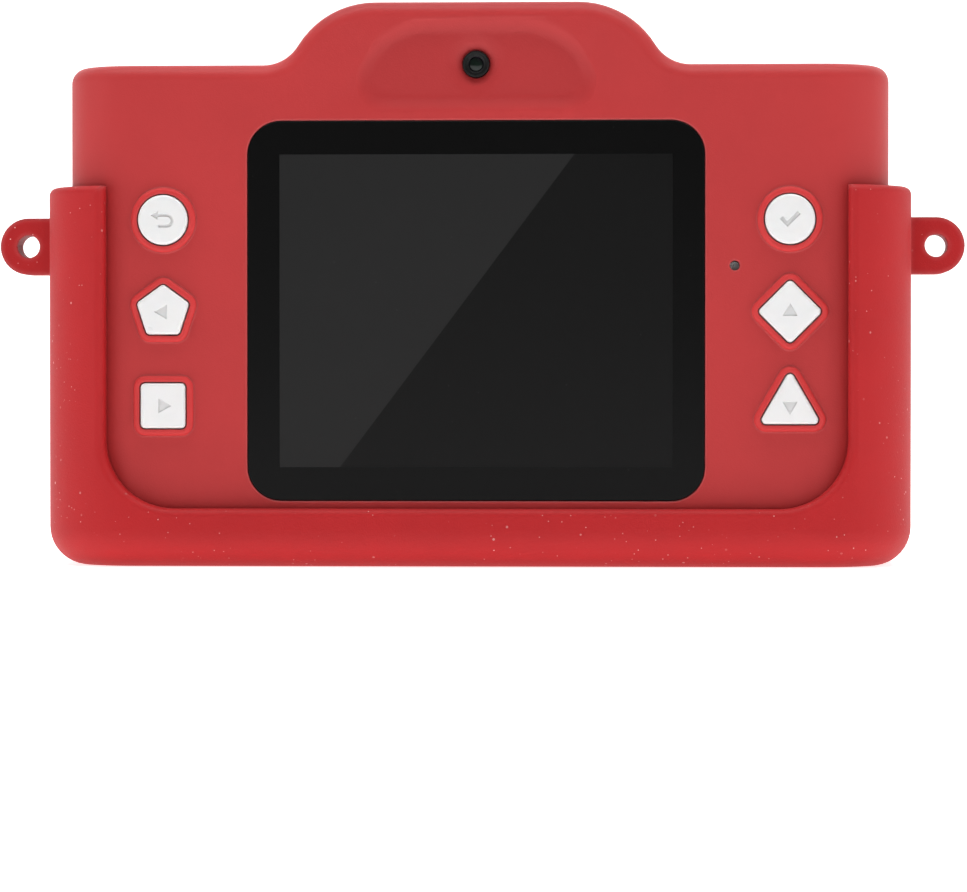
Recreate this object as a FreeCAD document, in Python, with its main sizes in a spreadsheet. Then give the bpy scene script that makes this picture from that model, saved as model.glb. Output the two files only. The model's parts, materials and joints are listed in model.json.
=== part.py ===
import FreeCAD, Part

import math
import os
import types

import Sketcher
from FreeCAD import Placement, Rotation, Vector

# A compact digital camera in a soft sleeve, taken apart into its pieces.
# Frame: +X to the right as seen from the screen side, the screen faces -Y, the front lens faces +Y,
# +Z up. The origin is under the middle of the camera, on the flat underside of the sleeve, and y = 0
# is the plane where the two casing halves meet. Lengths are in millimetres.

SIZES = (
    ("body_width", 84.6, "camera body, side to side"),
    ("body_depth", 24.0, "camera body, rear face to front face"),
    ("shoulder_height", 51.4, "top of the shoulders above the origin"),
    ("hump_rise", 6.4, "top of the middle hump above the shoulders"),
    ("hump_half_top", 10.4, "half width of the hump's flat top"),
    ("hump_half_foot", 21.9, "half width of the hump where it meets the shoulders"),
    ("hump_round", 9.3, "radius of the hump's upper corners"),
    ("hump_root", 8.0, "how far the hump's block reaches into the body"),
    ("side_roll", 7.0, "radius of the body's upright corners"),
    ("edge_roll", 1.6, "radius along the body's top and bottom edges"),
    ("shell_wall", 1.8, "wall of the casing"),
    ("parting_gap", 0.1, "fine gap between the casing halves"),
    ("sleeve_wall", 2.2, "wall of the soft sleeve"),
    ("sleeve_gap", 0.15, "clearance between sleeve and casing"),
    ("arm_height", 39.0, "top of the sleeve's arms above the origin"),
    ("lip_height", 6.0, "top of the sleeve's bottom lip above the origin"),
    ("arm_lip", 4.4, "how far the sleeve's arms lap over the body's faces"),
    ("window_corner", 7.0, "radius of the sleeve window's lower corners"),
    ("sleeve_roll", 4.0, "radius along the sleeve's bottom edges"),
    ("lip_round", 0.8, "rounding along the edge of the sleeve's lips"),
    ("ear_reach", 2.75, "from the sleeve's side to the hole in its ear"),
    ("ear_drop", 5.9, "ear's hole below the top of the sleeve's arm"),
    ("ear_radius", 2.95, "outer radius of the ear"),
    ("ear_hole", 1.18, "radius of the lanyard hole"),
    ("ear_thickness", 4.0, "ear, front to back"),
    ("port_roll", 1.8, "corner radius of the sleeve's port windows"),
    ("plug_margin", 2.3, "room for a plug's grip round the charging socket"),
    ("card_margin", 1.8, "room for a finger nail round the card"),
    ("card_nail_room", 2.16, "room for a finger nail before and behind the card"),
    ("glass_side", 2.3, "cover glass beyond the opening behind it, at each side"),
    ("glass_end", 2.75, "cover glass beyond the opening behind it, at top and bottom"),
    ("glass_corner", 3.4, "corner radius of the cover glass"),
    ("glass_thick", 0.9, "cover glass thickness"),
    ("glass_gap", 0.1, "clearance round the cover glass"),
    ("tape_thick", 0.15, "double-sided tape behind the glass"),
    ("tape_inset", 0.35, "tape set back from the glass edge"),
    ("screen_drop", 25.2, "middle of the screen below the shoulders"),
    ("view_width", 42.0, "opening in the casing behind the glass"),
    ("view_tall", 33.2, "opening in the casing behind the glass"),
    ("view_corner", 1.0, "corner radius of that opening"),
    ("panel_side", 2.2, "display panel beyond that opening, at each side"),
    ("panel_end", 0.8, "display panel beyond that opening, at top and bottom"),
    ("panel_thick", 1.9, "display panel thickness"),
    ("tray_wall", 0.5, "wall of the display's metal tray"),
    ("fit_gap", 0.05, "slack between pieces that seat on each other"),
    ("button_inset", 10.3, "middle of a button column from the body's side"),
    ("row_top_rise", 9.3, "upper buttons above the middle of the screen"),
    ("row_middle_drop", 0.1, "middle buttons below the middle of the screen"),
    ("row_bottom_drop", 9.7, "lower buttons below the middle of the screen"),
    ("round_radius", 2.55, "round buttons"),
    ("pentagon_radius", 2.85, "pentagon button, middle to corner"),
    ("square_radius", 3.25, "square button, middle to corner"),
    ("diamond_radius", 3.3, "diamond button, middle to corner"),
    ("triangle_radius", 3.7, "triangle button, middle to corner"),
    ("cap_corner", 0.45, "corner radius of the button caps"),
    ("cap_round", 0.3, "rounding round the face of a cap"),
    ("cap_gap", 0.12, "clearance between a cap and its hole"),
    ("cap_proud", 0.3, "how far a cap stands out of its rim"),
    ("rim_width", 0.8, "raised rim round a button"),
    ("rim_height", 0.5, "rim above the rear face"),
    ("rim_round", 0.4, "rounding of the rim"),
    ("flange_width", 0.9, "flange that keeps a cap in the casing"),
    ("flange_thick", 0.8, "flange thickness"),
    ("button_travel", 0.4, "how far a button goes in"),
    ("icon_radius", 0.85, "size of the sign cut into a cap"),
    ("icon_depth", 0.12, "depth of that sign"),
    ("switch_side", 6.0, "tact switch, side length"),
    ("switch_tall", 1.8, "tact switch body above the board"),
    ("switch_floor", 0.5, "floor of the plunger's bore"),
    ("plunger_radius", 1.6, "plunger of a rear switch"),
    ("plunger_gap", 0.1, "clearance between a plunger and its bore"),
    ("top_button_inset", 12.8, "shutter and power buttons from the body's side"),
    ("top_button_radius", 2.8, "cap of the shutter and power buttons"),
    ("top_button_sunk", 0.1, "those caps below the shoulders"),
    ("top_flange_width", 0.65, "their flange beyond the cap"),
    ("top_plunger_radius", 1.1, "plunger of a top switch"),
    ("top_switch_deep", 2.8, "top switch body, front to back"),
    ("top_switch_tall", 4.0, "top switch body, bottom to top"),
    ("top_switch_air", 0.2, "top switch body below the pressed button's flange"),
    ("top_plunger_sunk", 1.0, "top plunger inside its switch at rest"),
    ("board_inset", 6.3, "main board's edge from the body's side"),
    ("board_bottom", 5.0, "lower edge of the main board above the origin"),
    ("board_drop", 3.5, "upper edge of the main board below the shoulders"),
    ("board_thick", 1.0, "main board thickness"),
    ("board_stand", 4.2, "main board in front of the rear wall"),
    ("board_corner", 0.8, "corner radius of the main board"),
    ("post_x", 22.0, "upper board posts from the middle"),
    ("post_low_inset", 14.3, "lower board posts from the body's side"),
    ("post_drop", 5.3, "upper board posts below the shoulders"),
    ("post_low", 8.5, "lower board posts above the origin"),
    ("post_radius", 1.6, "board post"),
    ("board_screw_radius", 0.7, "shank of a board screw"),
    ("board_head_radius", 1.4, "head of a board screw"),
    ("board_head_thick", 0.9, "head of a board screw"),
    ("board_screw_long", 3.6, "shank of a board screw below its head"),
    ("boss_inset", 6.3, "casing screws from the body's side"),
    ("boss_low", 8.5, "lower casing screws above the origin"),
    ("boss_drop", 6.4, "upper casing screws below the shoulders"),
    ("boss_radius", 2.6, "screw boss"),
    ("shell_screw_radius", 0.8, "shank of a casing screw"),
    ("shell_head_radius", 1.8, "head of a casing screw"),
    ("shell_head_thick", 1.4, "head of a casing screw"),
    ("shell_head_sunk", 1.6, "head of a casing screw below the front face"),
    ("shell_screw_grip", 6.0, "length of a casing screw in the rear boss"),
    ("screw_gap", 0.15, "clearance round screws"),
    ("rear_lens_drop", 6.4, "rear lens below the hump's top"),
    ("rear_barrel_radius", 1.35, "rear lens barrel"),
    ("rear_glass_radius", 0.78, "rear lens glass"),
    ("rear_dimple_radius", 2.25, "dimple round the rear lens"),
    ("rear_recess_deep", 0.6, "recess round the rear lens"),
    ("rear_recess_slope", 1.0, "sloping edge of that recess"),
    ("rear_recess_low_corner", 2.6, "lower corner radius of that recess"),
    ("rear_recess_top_corner", 3.2, "upper corner radius of that recess"),
    ("rear_recess_below", 4.4, "lower edge of that recess below the lens"),
    ("rear_recess_above", 4.35, "upper edge of that recess above the lens"),
    ("rear_recess_soft", 0.5, "rounding of that recess's edge"),
    ("rear_recess_half_low", 14.0, "half width of that recess at its foot, to the sharp corner"),
    ("rear_recess_half_top", 8.5, "half width of that recess at its top, to the sharp corner"),
    ("rear_module_side", 7.6, "rear camera module"),
    ("rear_module_deep", 3.5, "rear camera module"),
    ("mic_inset", 5.6, "microphone from the button column"),
    ("mic_rise", 4.6, "microphone above the middle of the screen"),
    ("mic_hole", 0.5, "microphone hole in the casing"),
    ("mic_radius", 1.1, "microphone can"),
    ("mic_tall", 1.5, "microphone can above the board"),
    ("mic_boot_radius", 1.6, "rubber boot of the microphone"),
    ("front_lens_height", 27.0, "front lens above the origin"),
    ("bezel_radius", 17.0, "front lens bezel"),
    ("bezel_proud", 5.2, "front lens bezel in front of the casing"),
    ("bezel_chamfer", 1.0, "slope round the bezel's face"),
    ("bezel_floor", 1.2, "floor of the bezel"),
    ("bezel_dish", 1.0, "flat floor of the bezel round the front lens barrel"),
    ("bezel_pin_radius", 1.0, "pins behind the bezel"),
    ("bezel_pin_circle", 13.5, "circle of those pins"),
    ("front_window_radius", 11.5, "clear disc in the bezel"),
    ("front_window_thick", 1.0, "clear disc in the bezel"),
    ("front_window_sunk", 0.3, "clear disc below the bezel's face"),
    ("front_window_seat", 1.0, "ledge behind the clear disc"),
    ("front_barrel_radius", 4.0, "front lens barrel"),
    ("front_barrel_proud", 1.6, "front lens barrel in front of the casing"),
    ("front_glass_radius", 2.9, "front lens glass"),
    ("front_module_side", 9.0, "front camera module"),
    ("front_module_deep", 4.5, "front camera module"),
    ("collar_wall", 1.0, "ribs round the front camera module"),
    ("collar_deep", 3.2, "ribs round the front camera module"),
    ("usb_x", 15.0, "charging socket, left of the middle"),
    ("usb_wide", 8.94, "charging socket, side to side"),
    ("usb_thick", 3.26, "charging socket, front to back"),
    ("usb_long", 7.3, "charging socket, mouth to end"),
    ("usb_wall", 0.3, "wall of the charging socket"),
    ("usb_sunk", 0.25, "mouth of the socket inside the casing's underside"),
    ("usb_tongue_wide", 6.7, "contact tongue, side to side"),
    ("usb_tongue_thick", 0.7, "contact tongue, front to back"),
    ("usb_tongue_sunk", 0.8, "contact tongue behind the mouth"),
    ("card_x", 13.0, "memory card, right of the middle"),
    ("card_wide", 11.0, "memory card, side to side"),
    ("card_long", 15.0, "memory card, bottom to top"),
    ("card_thick", 0.8, "memory card thickness"),
    ("card_sunk", 0.5, "card's edge inside the casing's underside"),
    ("card_gap", 0.15, "clearance round the card"),
    ("slot_wall", 1.2, "side walls of the card slot"),
    ("slot_skin", 0.3, "top and bottom skin of the card slot"),
    ("slot_long", 14.6, "card slot, mouth to end"),
    ("slot_bottom", 4.6, "mouth of the card slot above the origin"),
    ("battery_wide", 40.0, "battery, side to side"),
    ("battery_tall", 24.0, "battery, bottom to top"),
    ("battery_gap", 2.0, "battery behind the front camera module"),
    ("battery_bottom", 22.0, "battery above the origin"),
    ("battery_corner", 1.6, "corner radius of the battery"),
    ("pad_thick", 2.0, "foam pad behind the battery"),
    ("pad_inset", 3.0, "foam pad set back from the battery's edge"),
    ("battery_plug_out", 4.3, "battery connector beyond the battery's end"),
    ("battery_plug_rise", 17.6, "battery connector above the battery's lower edge"),
    ("battery_plug_wide", 3.0, "battery connector, side to side"),
    ("battery_plug_tall", 4.0, "battery connector, bottom to top"),
    ("battery_plug_deep", 2.8, "battery connector above the board"),
    ("lead_radius", 0.45, "insulated lead"),
    ("lead_pitch", 1.6, "distance between two leads"),
    ("lead_bend_near", 2.15, "first bend of the speaker leads, in front of the parting plane"),
    ("lead_bend_far", 1.0, "last bend of the speaker leads, behind the parting plane"),
    ("lead_in", 1.0, "speaker leads inward of the lower board post"),
    ("lead_drop", 2.0, "speaker leads below where they leave the speaker"),
    ("speaker_out", 2.5, "speaker beyond the battery's end"),
    ("speaker_height", 24.0, "speaker above the origin"),
    ("speaker_radius", 6.5, "speaker"),
    ("speaker_deep", 3.3, "speaker, front to back"),
    ("magnet_radius", 4.55, "magnet at the back of the speaker"),
    ("magnet_lap", 0.825, "magnet inside the speaker basket"),
    ("speaker_bore", 5.2, "open face of the gasket"),
    ("gasket_thick", 0.45, "foam gasket in front of the speaker"),
    ("grille_hole", 0.6, "speaker hole in the casing"),
    ("grille_circle", 2.7, "circle of those holes"),
    ("flex_thick", 0.15, "flat flexible cable"),
    ("display_flex_wide", 12.0, "display cable"),
    ("camera_flex_wide", 6.0, "camera cables"),
    ("socket_deep", 1.1, "flex connectors above the board"),
    ("socket_tall", 2.9, "flex connectors, bottom to top"),
    ("front_socket_tall", 2.6, "flex connector of the front camera, bottom to top"),
    ("socket_margin", 0.5, "flex connector beyond its cable, at each side"),
    ("flex_drop", 1.5, "front camera cable below the battery"),
    ("flex_forward", 1.0, "front camera cable in front of the rear face of its module"),
    ("chip_side", 8.0, "processor, side length"),
    ("chip_thick", 1.0, "processor above the board"),
    ("memory_long", 6.0, "memory chip, side length"),
    ("memory_drop", 1.0, "middle of the memory chip below the lower buttons"),
)


class Size:
    """A length with the formula over the sheet's cells that it came from."""

    def __init__(self, value, formula):
        self.value = float(value)
        self.formula = formula

    @staticmethod
    def of(thing):
        return thing if isinstance(thing, Size) else Size(thing, repr(float(thing)))

    def __float__(self):
        return self.value

    def __add__(self, other):
        other = Size.of(other)
        return Size(self.value + other.value, f"({self.formula} + {other.formula})")

    def __sub__(self, other):
        other = Size.of(other)
        return Size(self.value - other.value, f"({self.formula} - {other.formula})")

    def __mul__(self, other):
        other = Size.of(other)
        return Size(self.value * other.value, f"({self.formula} * {other.formula})")

    def __truediv__(self, other):
        other = Size.of(other)
        return Size(self.value / other.value, f"({self.formula} / {other.formula})")

    def __radd__(self, other):
        return Size.of(other) + self

    def __rsub__(self, other):
        return Size.of(other) - self

    def __rmul__(self, other):
        return Size.of(other) * self

    def __neg__(self):
        return 0 - self


doc = FreeCAD.newDocument("compact_camera")
sheet = doc.addObject("Spreadsheet::Sheet", "Sizes")
for row, (alias, value, meaning) in enumerate(SIZES, start=1):
    sheet.set(f"A{row}", meaning)
    sheet.set(f"B{row}", str(value))
    sheet.setAlias(f"B{row}", alias)
doc.recompute()
S = types.SimpleNamespace(**{alias: Size(value, f"Sizes.{alias}") for alias, value, _ in SIZES})

FLAT_OVAL = 0.476   # corner radius of the charging socket, as a share of its thickness

# Faces and levels that several pieces share.
ear_height = S.arm_height - S.ear_drop
window_width = S.body_width - 2 * S.arm_lip
rear_face = -S.body_depth / 2
front_face = S.body_depth / 2
rear_inside = rear_face + S.shell_wall
front_inside = front_face - S.shell_wall
body_side = S.body_width / 2
body_base = S.sleeve_wall + S.sleeve_gap
floor_inside = body_base + S.shell_wall
top_inside = S.shoulder_height - S.shell_wall
hump_top = S.shoulder_height + S.hump_rise
screen_height = S.shoulder_height - S.screen_drop
glass_width = S.view_width + 2 * S.glass_side
glass_tall = S.view_tall + 2 * S.glass_end
panel_width = S.view_width + 2 * S.panel_side
panel_tall = S.view_tall + 2 * S.panel_end
panel_foot = screen_height - panel_tall / 2
button_column = body_side - S.button_inset
row_top = screen_height + S.row_top_rise
row_middle = screen_height - S.row_middle_drop
row_bottom = screen_height - S.row_bottom_drop
board_rear = rear_inside + S.board_stand
board_front = board_rear + S.board_thick
board_width = S.body_width - 2 * S.board_inset
board_top = S.shoulder_height - S.board_drop
post_top = S.shoulder_height - S.post_drop
post_low_x = body_side - S.post_low_inset
boss_x = body_side - S.boss_inset
boss_top = S.shoulder_height - S.boss_drop
rear_lens_height = hump_top - S.rear_lens_drop
mic_x = button_column - S.mic_inset
mic_height = screen_height + S.mic_rise
top_button_x = body_side - S.top_button_inset
top_button_y = board_front + S.top_switch_deep / 2
top_flange_low = top_inside - S.fit_gap - S.flange_thick
top_switch_face = top_flange_low - S.button_travel - S.top_switch_air
top_plunger_low = top_switch_face - S.top_plunger_sunk
battery_plug_x = S.battery_wide / 2 + S.battery_plug_out
battery_plug_height = S.battery_bottom + S.battery_plug_rise
speaker_x = S.battery_wide / 2 + S.speaker_out + S.speaker_radius
cap_face = rear_face - S.rim_height - S.cap_proud
flange_rear = rear_inside + S.fit_gap
flange_front = flange_rear + S.flange_thick
switch_face = board_rear - S.switch_tall
glass_rear = rear_face + S.glass_thick
tape_rear = glass_rear + S.tape_thick
panel_rear = rear_inside + S.fit_gap
panel_back = panel_rear + S.panel_thick
usb_y = board_front + S.usb_thick / 2
usb_round = S.usb_thick * FLAT_OVAL
card_y = board_front + S.slot_skin + S.card_gap + S.card_thick / 2
usb_mouth = body_base + S.usb_sunk
card_edge = body_base + S.card_sunk

X_AXIS, Y_AXIS, Z_AXIS = Vector(1, 0, 0), Vector(0, 1, 0), Vector(0, 0, 1)
TURN_TO = {
    "x": Rotation(Y_AXIS, 90),
    "y": Rotation(X_AXIS, -90),
    "z": Rotation(Z_AXIS, 0),
}
NEAR = 1e-4
SLOPE_SHARE = 0.98   # a sloping edge stops just short of the whole depth
DOME_RADIUS = 1.6   # radius of a lens glass's face, as a share of the glass's own radius
REAR_DOME, FRONT_DOME = 0.95, 1.2   # middle of that face behind the glass's seat, as the same share
RECESS_STEPS = ((1.0, 0.15), (0.5, 0.45), (0.0, 1.0))   # shares of the recess's rounding and depth
BIG = 40.0   # reaches past every face of the camera when it is used as a cutting tool
PAST = 1.0   # how far a smaller cutting tool goes past a face


# Building blocks

def place(piece, x, y, z, turn=None):
    """Put a piece at a point that is bound to the sheet."""
    if turn is not None:
        piece.Placement = Placement(Vector(), turn)
    for letter, size in zip("xyz", (x, y, z)):
        piece.setExpression(f"Placement.Base.{letter}", Size.of(size).formula)
    return piece


def box(name, x, y, z):
    """A box between a low and a high value on each axis."""
    piece = doc.addObject("Part::Box", name)
    for side, (low, high) in zip(("Length", "Width", "Height"), (x, y, z)):
        piece.setExpression(side, (Size.of(high) - low).formula)
    return place(piece, x[0], y[0], z[0])


def around(middle, width):
    """The low and high value of a stretch that is centred on a point."""
    return middle - width / 2, middle + width / 2


def rod(name, axis, radius, start, long):
    """A cylinder from a start point along one axis."""
    piece = doc.addObject("Part::Cylinder", name)
    piece.setExpression("Radius", Size.of(radius).formula)
    piece.setExpression("Height", Size.of(long).formula)
    return place(piece, *start, turn=TURN_TO[axis])


def rod_y(name, radius, x, z, y):
    """A cylinder along Y between two values."""
    return rod(name, "y", radius, (x, y[0], z), Size.of(y[1]) - y[0])


def cone_y(name, radius_low, radius_high, x, z, y):
    """A cone along Y between two values."""
    piece = doc.addObject("Part::Cone", name)
    piece.setExpression("Radius1", Size.of(radius_low).formula)
    piece.setExpression("Radius2", Size.of(radius_high).formula)
    piece.setExpression("Height", (Size.of(y[1]) - y[0]).formula)
    return place(piece, x, y[0], z, turn=TURN_TO["y"])


def ball(name, radius, x, y, z):
    piece = doc.addObject("Part::Sphere", name)
    piece.setExpression("Radius", Size.of(radius).formula)
    return place(piece, x, y, z)


def cut(name, base, *tools):
    """Take the tools away from the base."""
    piece = doc.addObject("Part::Cut", name)
    piece.Base = base
    piece.Tool = tools[0] if len(tools) == 1 else fuse(f"{name}_tools", *tools)
    return piece


def fuse(name, *parts):
    piece = doc.addObject("Part::MultiFuse", name)
    piece.Shapes = list(parts)
    return piece


def common(name, *parts):
    piece = doc.addObject("Part::MultiCommon", name)
    piece.Shapes = list(parts)
    return piece


def group(name, *parts):
    """Separate solids that are kept in one node."""
    piece = doc.addObject("Part::Compound", name)
    piece.Links = list(parts)
    return piece


def body_sketch(body, name, role, offset=0.0):
    """A sketch on one of the body's own planes, moved along the plane's normal."""
    sketch = body.newObject("Sketcher::SketchObject", name)
    plane = next(item for item in body.Origin.OriginFeatures if item.Role == role)
    sketch.AttachmentSupport = [(plane, "")]
    sketch.MapMode = "FlatFace"
    sketch.setExpression("AttachmentOffset.Base.z", Size.of(offset).formula)
    return sketch


def dimension(sketch, kind, *numbers, size):
    """A constraint whose value is bound to the sheet."""
    index = sketch.addConstraint(Sketcher.Constraint(kind, *numbers, float(size)))
    sketch.setExpression(f"Constraints[{index}]", Size.of(size).formula)


def relate(sketch, kind, *numbers):
    sketch.addConstraint(Sketcher.Constraint(kind, *numbers))


def segment(sketch, start, end):
    return sketch.addGeometry(Part.LineSegment(Vector(*start, 0), Vector(*end, 0)), False)


def arc(sketch, centre, radius, low, high):
    """An arc that runs counter-clockwise between two angles in degrees."""
    circle = Part.Circle(Vector(*centre, 0), Z_AXIS, float(radius))
    turned = Part.ArcOfCircle(circle, math.radians(low), math.radians(high))
    return sketch.addGeometry(turned, False)


def rounded_rectangle(sketch, width, tall, corner):
    """A rectangle with round corners about the sketch's origin."""
    half_w, half_t, r = float(width) / 2, float(tall) / 2, float(corner)
    in_w, in_t = half_w - r, half_t - r
    sides = [
        segment(sketch, (-in_w, -half_t), (in_w, -half_t)),
        segment(sketch, (half_w, -in_t), (half_w, in_t)),
        segment(sketch, (in_w, half_t), (-in_w, half_t)),
        segment(sketch, (-half_w, in_t), (-half_w, -in_t)),
    ]
    centres = ((in_w, -in_t), (in_w, in_t), (-in_w, in_t), (-in_w, -in_t))
    arcs = [arc(sketch, centre, r, 90 * turn - 90, 90 * turn) for turn, centre in enumerate(centres)]
    for number in range(4):
        relate(sketch, "Tangent", sides[number], 2, arcs[number], 1)
        relate(sketch, "Tangent", arcs[number], 2, sides[(number + 1) % 4], 1)
    for number, kind in enumerate(("Horizontal", "Vertical") * 2):
        relate(sketch, kind, sides[number])
    for other in arcs[1:]:
        relate(sketch, "Equal", arcs[0], other)
    relate(sketch, "Symmetric", arcs[0], 3, arcs[2], 3, -1, 1)
    dimension(sketch, "Radius", arcs[0], size=corner)
    dimension(sketch, "DistanceX", sides[3], 1, sides[1], 1, size=width)
    dimension(sketch, "DistanceY", sides[0], 1, sides[2], 1, size=tall)


def regular_polygon(sketch, sides, radius, flat):
    """A polygon about the sketch's origin with a corner at its top, or a flat side."""
    r = float(radius)
    first = 90 + (180 / sides if flat else 0)
    angles = [math.radians(first + 360 * number / sides) for number in range(sides)]
    points = [(r * math.cos(angle), r * math.sin(angle)) for angle in angles]
    lines = [segment(sketch, points[n], points[(n + 1) % sides]) for n in range(sides)]
    guide = sketch.addGeometry(Part.Circle(Vector(), Z_AXIS, r), True)
    relate(sketch, "Coincident", guide, 3, -1, 1)
    dimension(sketch, "Radius", guide, size=radius)
    for number, line in enumerate(lines):
        relate(sketch, "Coincident", line, 2, lines[(number + 1) % sides], 1)
        relate(sketch, "PointOnObject", line, 1, guide)
        if number:
            relate(sketch, "Equal", lines[0], line)
    if flat:
        relate(sketch, "Horizontal", lines[-1])
    else:
        relate(sketch, "PointOnObject", lines[0], 1, -2)


def pad(body, sketch, long, taper=0.0):
    feature = body.newObject("PartDesign::Pad", f"{sketch.Name}_pad")
    feature.Profile = sketch
    feature.setExpression("Length", Size.of(long).formula)
    feature.TaperAngle = taper
    doc.recompute()
    return feature


def pocket(body, sketch, deep):
    feature = body.newObject("PartDesign::Pocket", f"{sketch.Name}_pocket")
    feature.Profile = sketch
    feature.setExpression("Length", Size.of(deep).formula)
    doc.recompute()
    return feature


def roll(body, feature, radius, wanted):
    """Round the edges of a feature that a test picks."""
    edges = feature.Shape.Edges
    names = [f"Edge{number}" for number, edge in enumerate(edges, start=1) if wanted(edge)]
    rounded = body.newObject("PartDesign::Fillet", f"{feature.Name}_roll")
    rounded.Base = (feature, names)
    rounded.setExpression("Radius", Size.of(radius).formula)
    doc.recompute()
    return rounded


def runs_along(axis):
    """Test for straight edges along an axis."""
    def test(edge):
        return isinstance(edge.Curve, Part.Line) and abs(abs(edge.Curve.Direction.dot(axis)) - 1) < NEAR
    return test


def lies_at(axis, level):
    """Test for edges in a plane across an axis, in the body's own frame."""
    def test(edge):
        return all(abs(vertex.Point.dot(axis) - float(level)) < NEAR for vertex in edge.Vertexes)
    return test


def block(name, width, deep, corner, z, x=0, y=0, low_roll=None, top_roll=None):
    """A block with round upright corners, and rolled lower and upper edges where they are given."""
    body = doc.addObject("PartDesign::Body", name)
    sketch = body_sketch(body, f"{name}_plan", "XY_Plane")
    rounded_rectangle(sketch, width, deep, corner)
    tall = Size.of(z[1]) - z[0]
    feature = pad(body, sketch, tall)
    if low_roll is not None:
        feature = roll(body, feature, low_roll, lies_at(Z_AXIS, 0))
    if top_roll is not None:
        roll(body, feature, top_roll, lies_at(Z_AXIS, tall))
    return place(body, x, y, z[0])


def plate(name, width, tall, corner, x, z, y):
    """A plate with round corners that stands between two values of Y."""
    body = doc.addObject("PartDesign::Body", name)
    sketch = body_sketch(body, f"{name}_outline", "XZ_Plane")
    rounded_rectangle(sketch, width, tall, corner)
    pad(body, sketch, Size.of(y[1]) - y[0])
    return place(body, x, y[1], z)


def prism(name, sides, radius, corner, flat, x, z, y, face_round=None):
    """A polygonal or round prism that stands between two values of Y; its face looks to -Y."""
    body = doc.addObject("PartDesign::Body", name)
    long = Size.of(y[1]) - y[0]
    sketch = body_sketch(body, f"{name}_outline", "XZ_Plane")
    outline(sketch, sides, radius, flat)
    feature = pad(body, sketch, long)
    if sides:
        feature = roll(body, feature, corner, runs_along(Y_AXIS))
    if face_round is not None:
        roll(body, feature, face_round, lies_at(Y_AXIS, -long))
    return place(body, x, y[1], z)


def outline(sketch, sides, radius, flat):
    """A circle, or a regular polygon with that many sides."""
    if sides:
        regular_polygon(sketch, sides, radius, flat)
    else:
        ring = sketch.addGeometry(Part.Circle(Vector(), Z_AXIS, float(radius)), False)
        relate(sketch, "Coincident", ring, 3, -1, 1)
        dimension(sketch, "Radius", ring, size=radius)


def grown(radius, sides, margin):
    """The corner radius of an outline whose sides move outwards by a margin."""
    return radius + margin / math.cos(math.pi / sides) if sides else radius + margin


def turned(name, outline_points, x, z):
    """A piece turned about a line along Y, from (radius, y) points in order."""
    piece = doc.addObject("Part::Feature", name)
    points = [Vector(float(radius), float(y), 0) for radius, y in outline_points]
    face = Part.Face(Part.makePolygon(points + points[:1]))
    piece.Shape = face.revolve(Vector(), Y_AXIS, 360)
    return place(piece, x, 0, z)


def bent_path(points):
    """Straight runs joined by tangent arcs, each as large as its two runs allow."""
    points = [Vector(*(float(value) for value in point)) for point in points]
    edges = []
    here = points[0]
    for before, corner, after in zip(points, points[1:], points[2:]):
        into, out = corner - before, after - corner
        half_turn = into.getAngle(out) / 2
        reach = 0.45 * min(into.Length, out.Length)
        radius = reach / math.tan(half_turn)
        start = corner - into.normalize() * reach
        end = corner + out.normalize() * reach
        inward = (out - into).normalize()
        middle = corner + inward * (radius / math.cos(half_turn) - radius)
        edges.append(Part.LineSegment(here, start).toShape())
        edges.append(Part.Arc(start, middle, end).toShape())
        here = end
    edges.append(Part.LineSegment(here, points[-1]).toShape())
    return Part.Wire(edges)


def lead(name, points, radius):
    """A round insulated lead along a bent path."""
    path = bent_path(points)
    start = path.Edges[0].Vertexes[0].Point
    direction = path.Edges[0].tangentAt(path.Edges[0].FirstParameter)
    ring = Part.Wire(Part.makeCircle(float(radius), start, direction))
    piece = doc.addObject("Part::Feature", name)
    piece.Shape = path.makePipeShell([ring], True, False)
    return piece


def ribbon(name, points, width, x=0):
    """A flat cable: a bent path in the YZ plane with the cable's thickness, as wide as given."""
    path = bent_path([(0, y, z) for y, z in points])
    half = float(S.flex_thick) / 2
    start = path.Edges[0].Vertexes[0].Point
    along = path.Edges[0].tangentAt(path.Edges[0].FirstParameter)
    across = along.cross(X_AXIS).normalize() * half
    wide = X_AXIS * (float(width) / 2)
    corners = [start + across + wide, start + across - wide, start - across - wide, start - across + wide]
    section = Part.makePolygon(corners + corners[:1])
    piece = doc.addObject("Part::Feature", name)
    piece.Shape = path.makePipeShell([section], True, False)
    return place(piece, x, 0, 0)


# The casing

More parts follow.
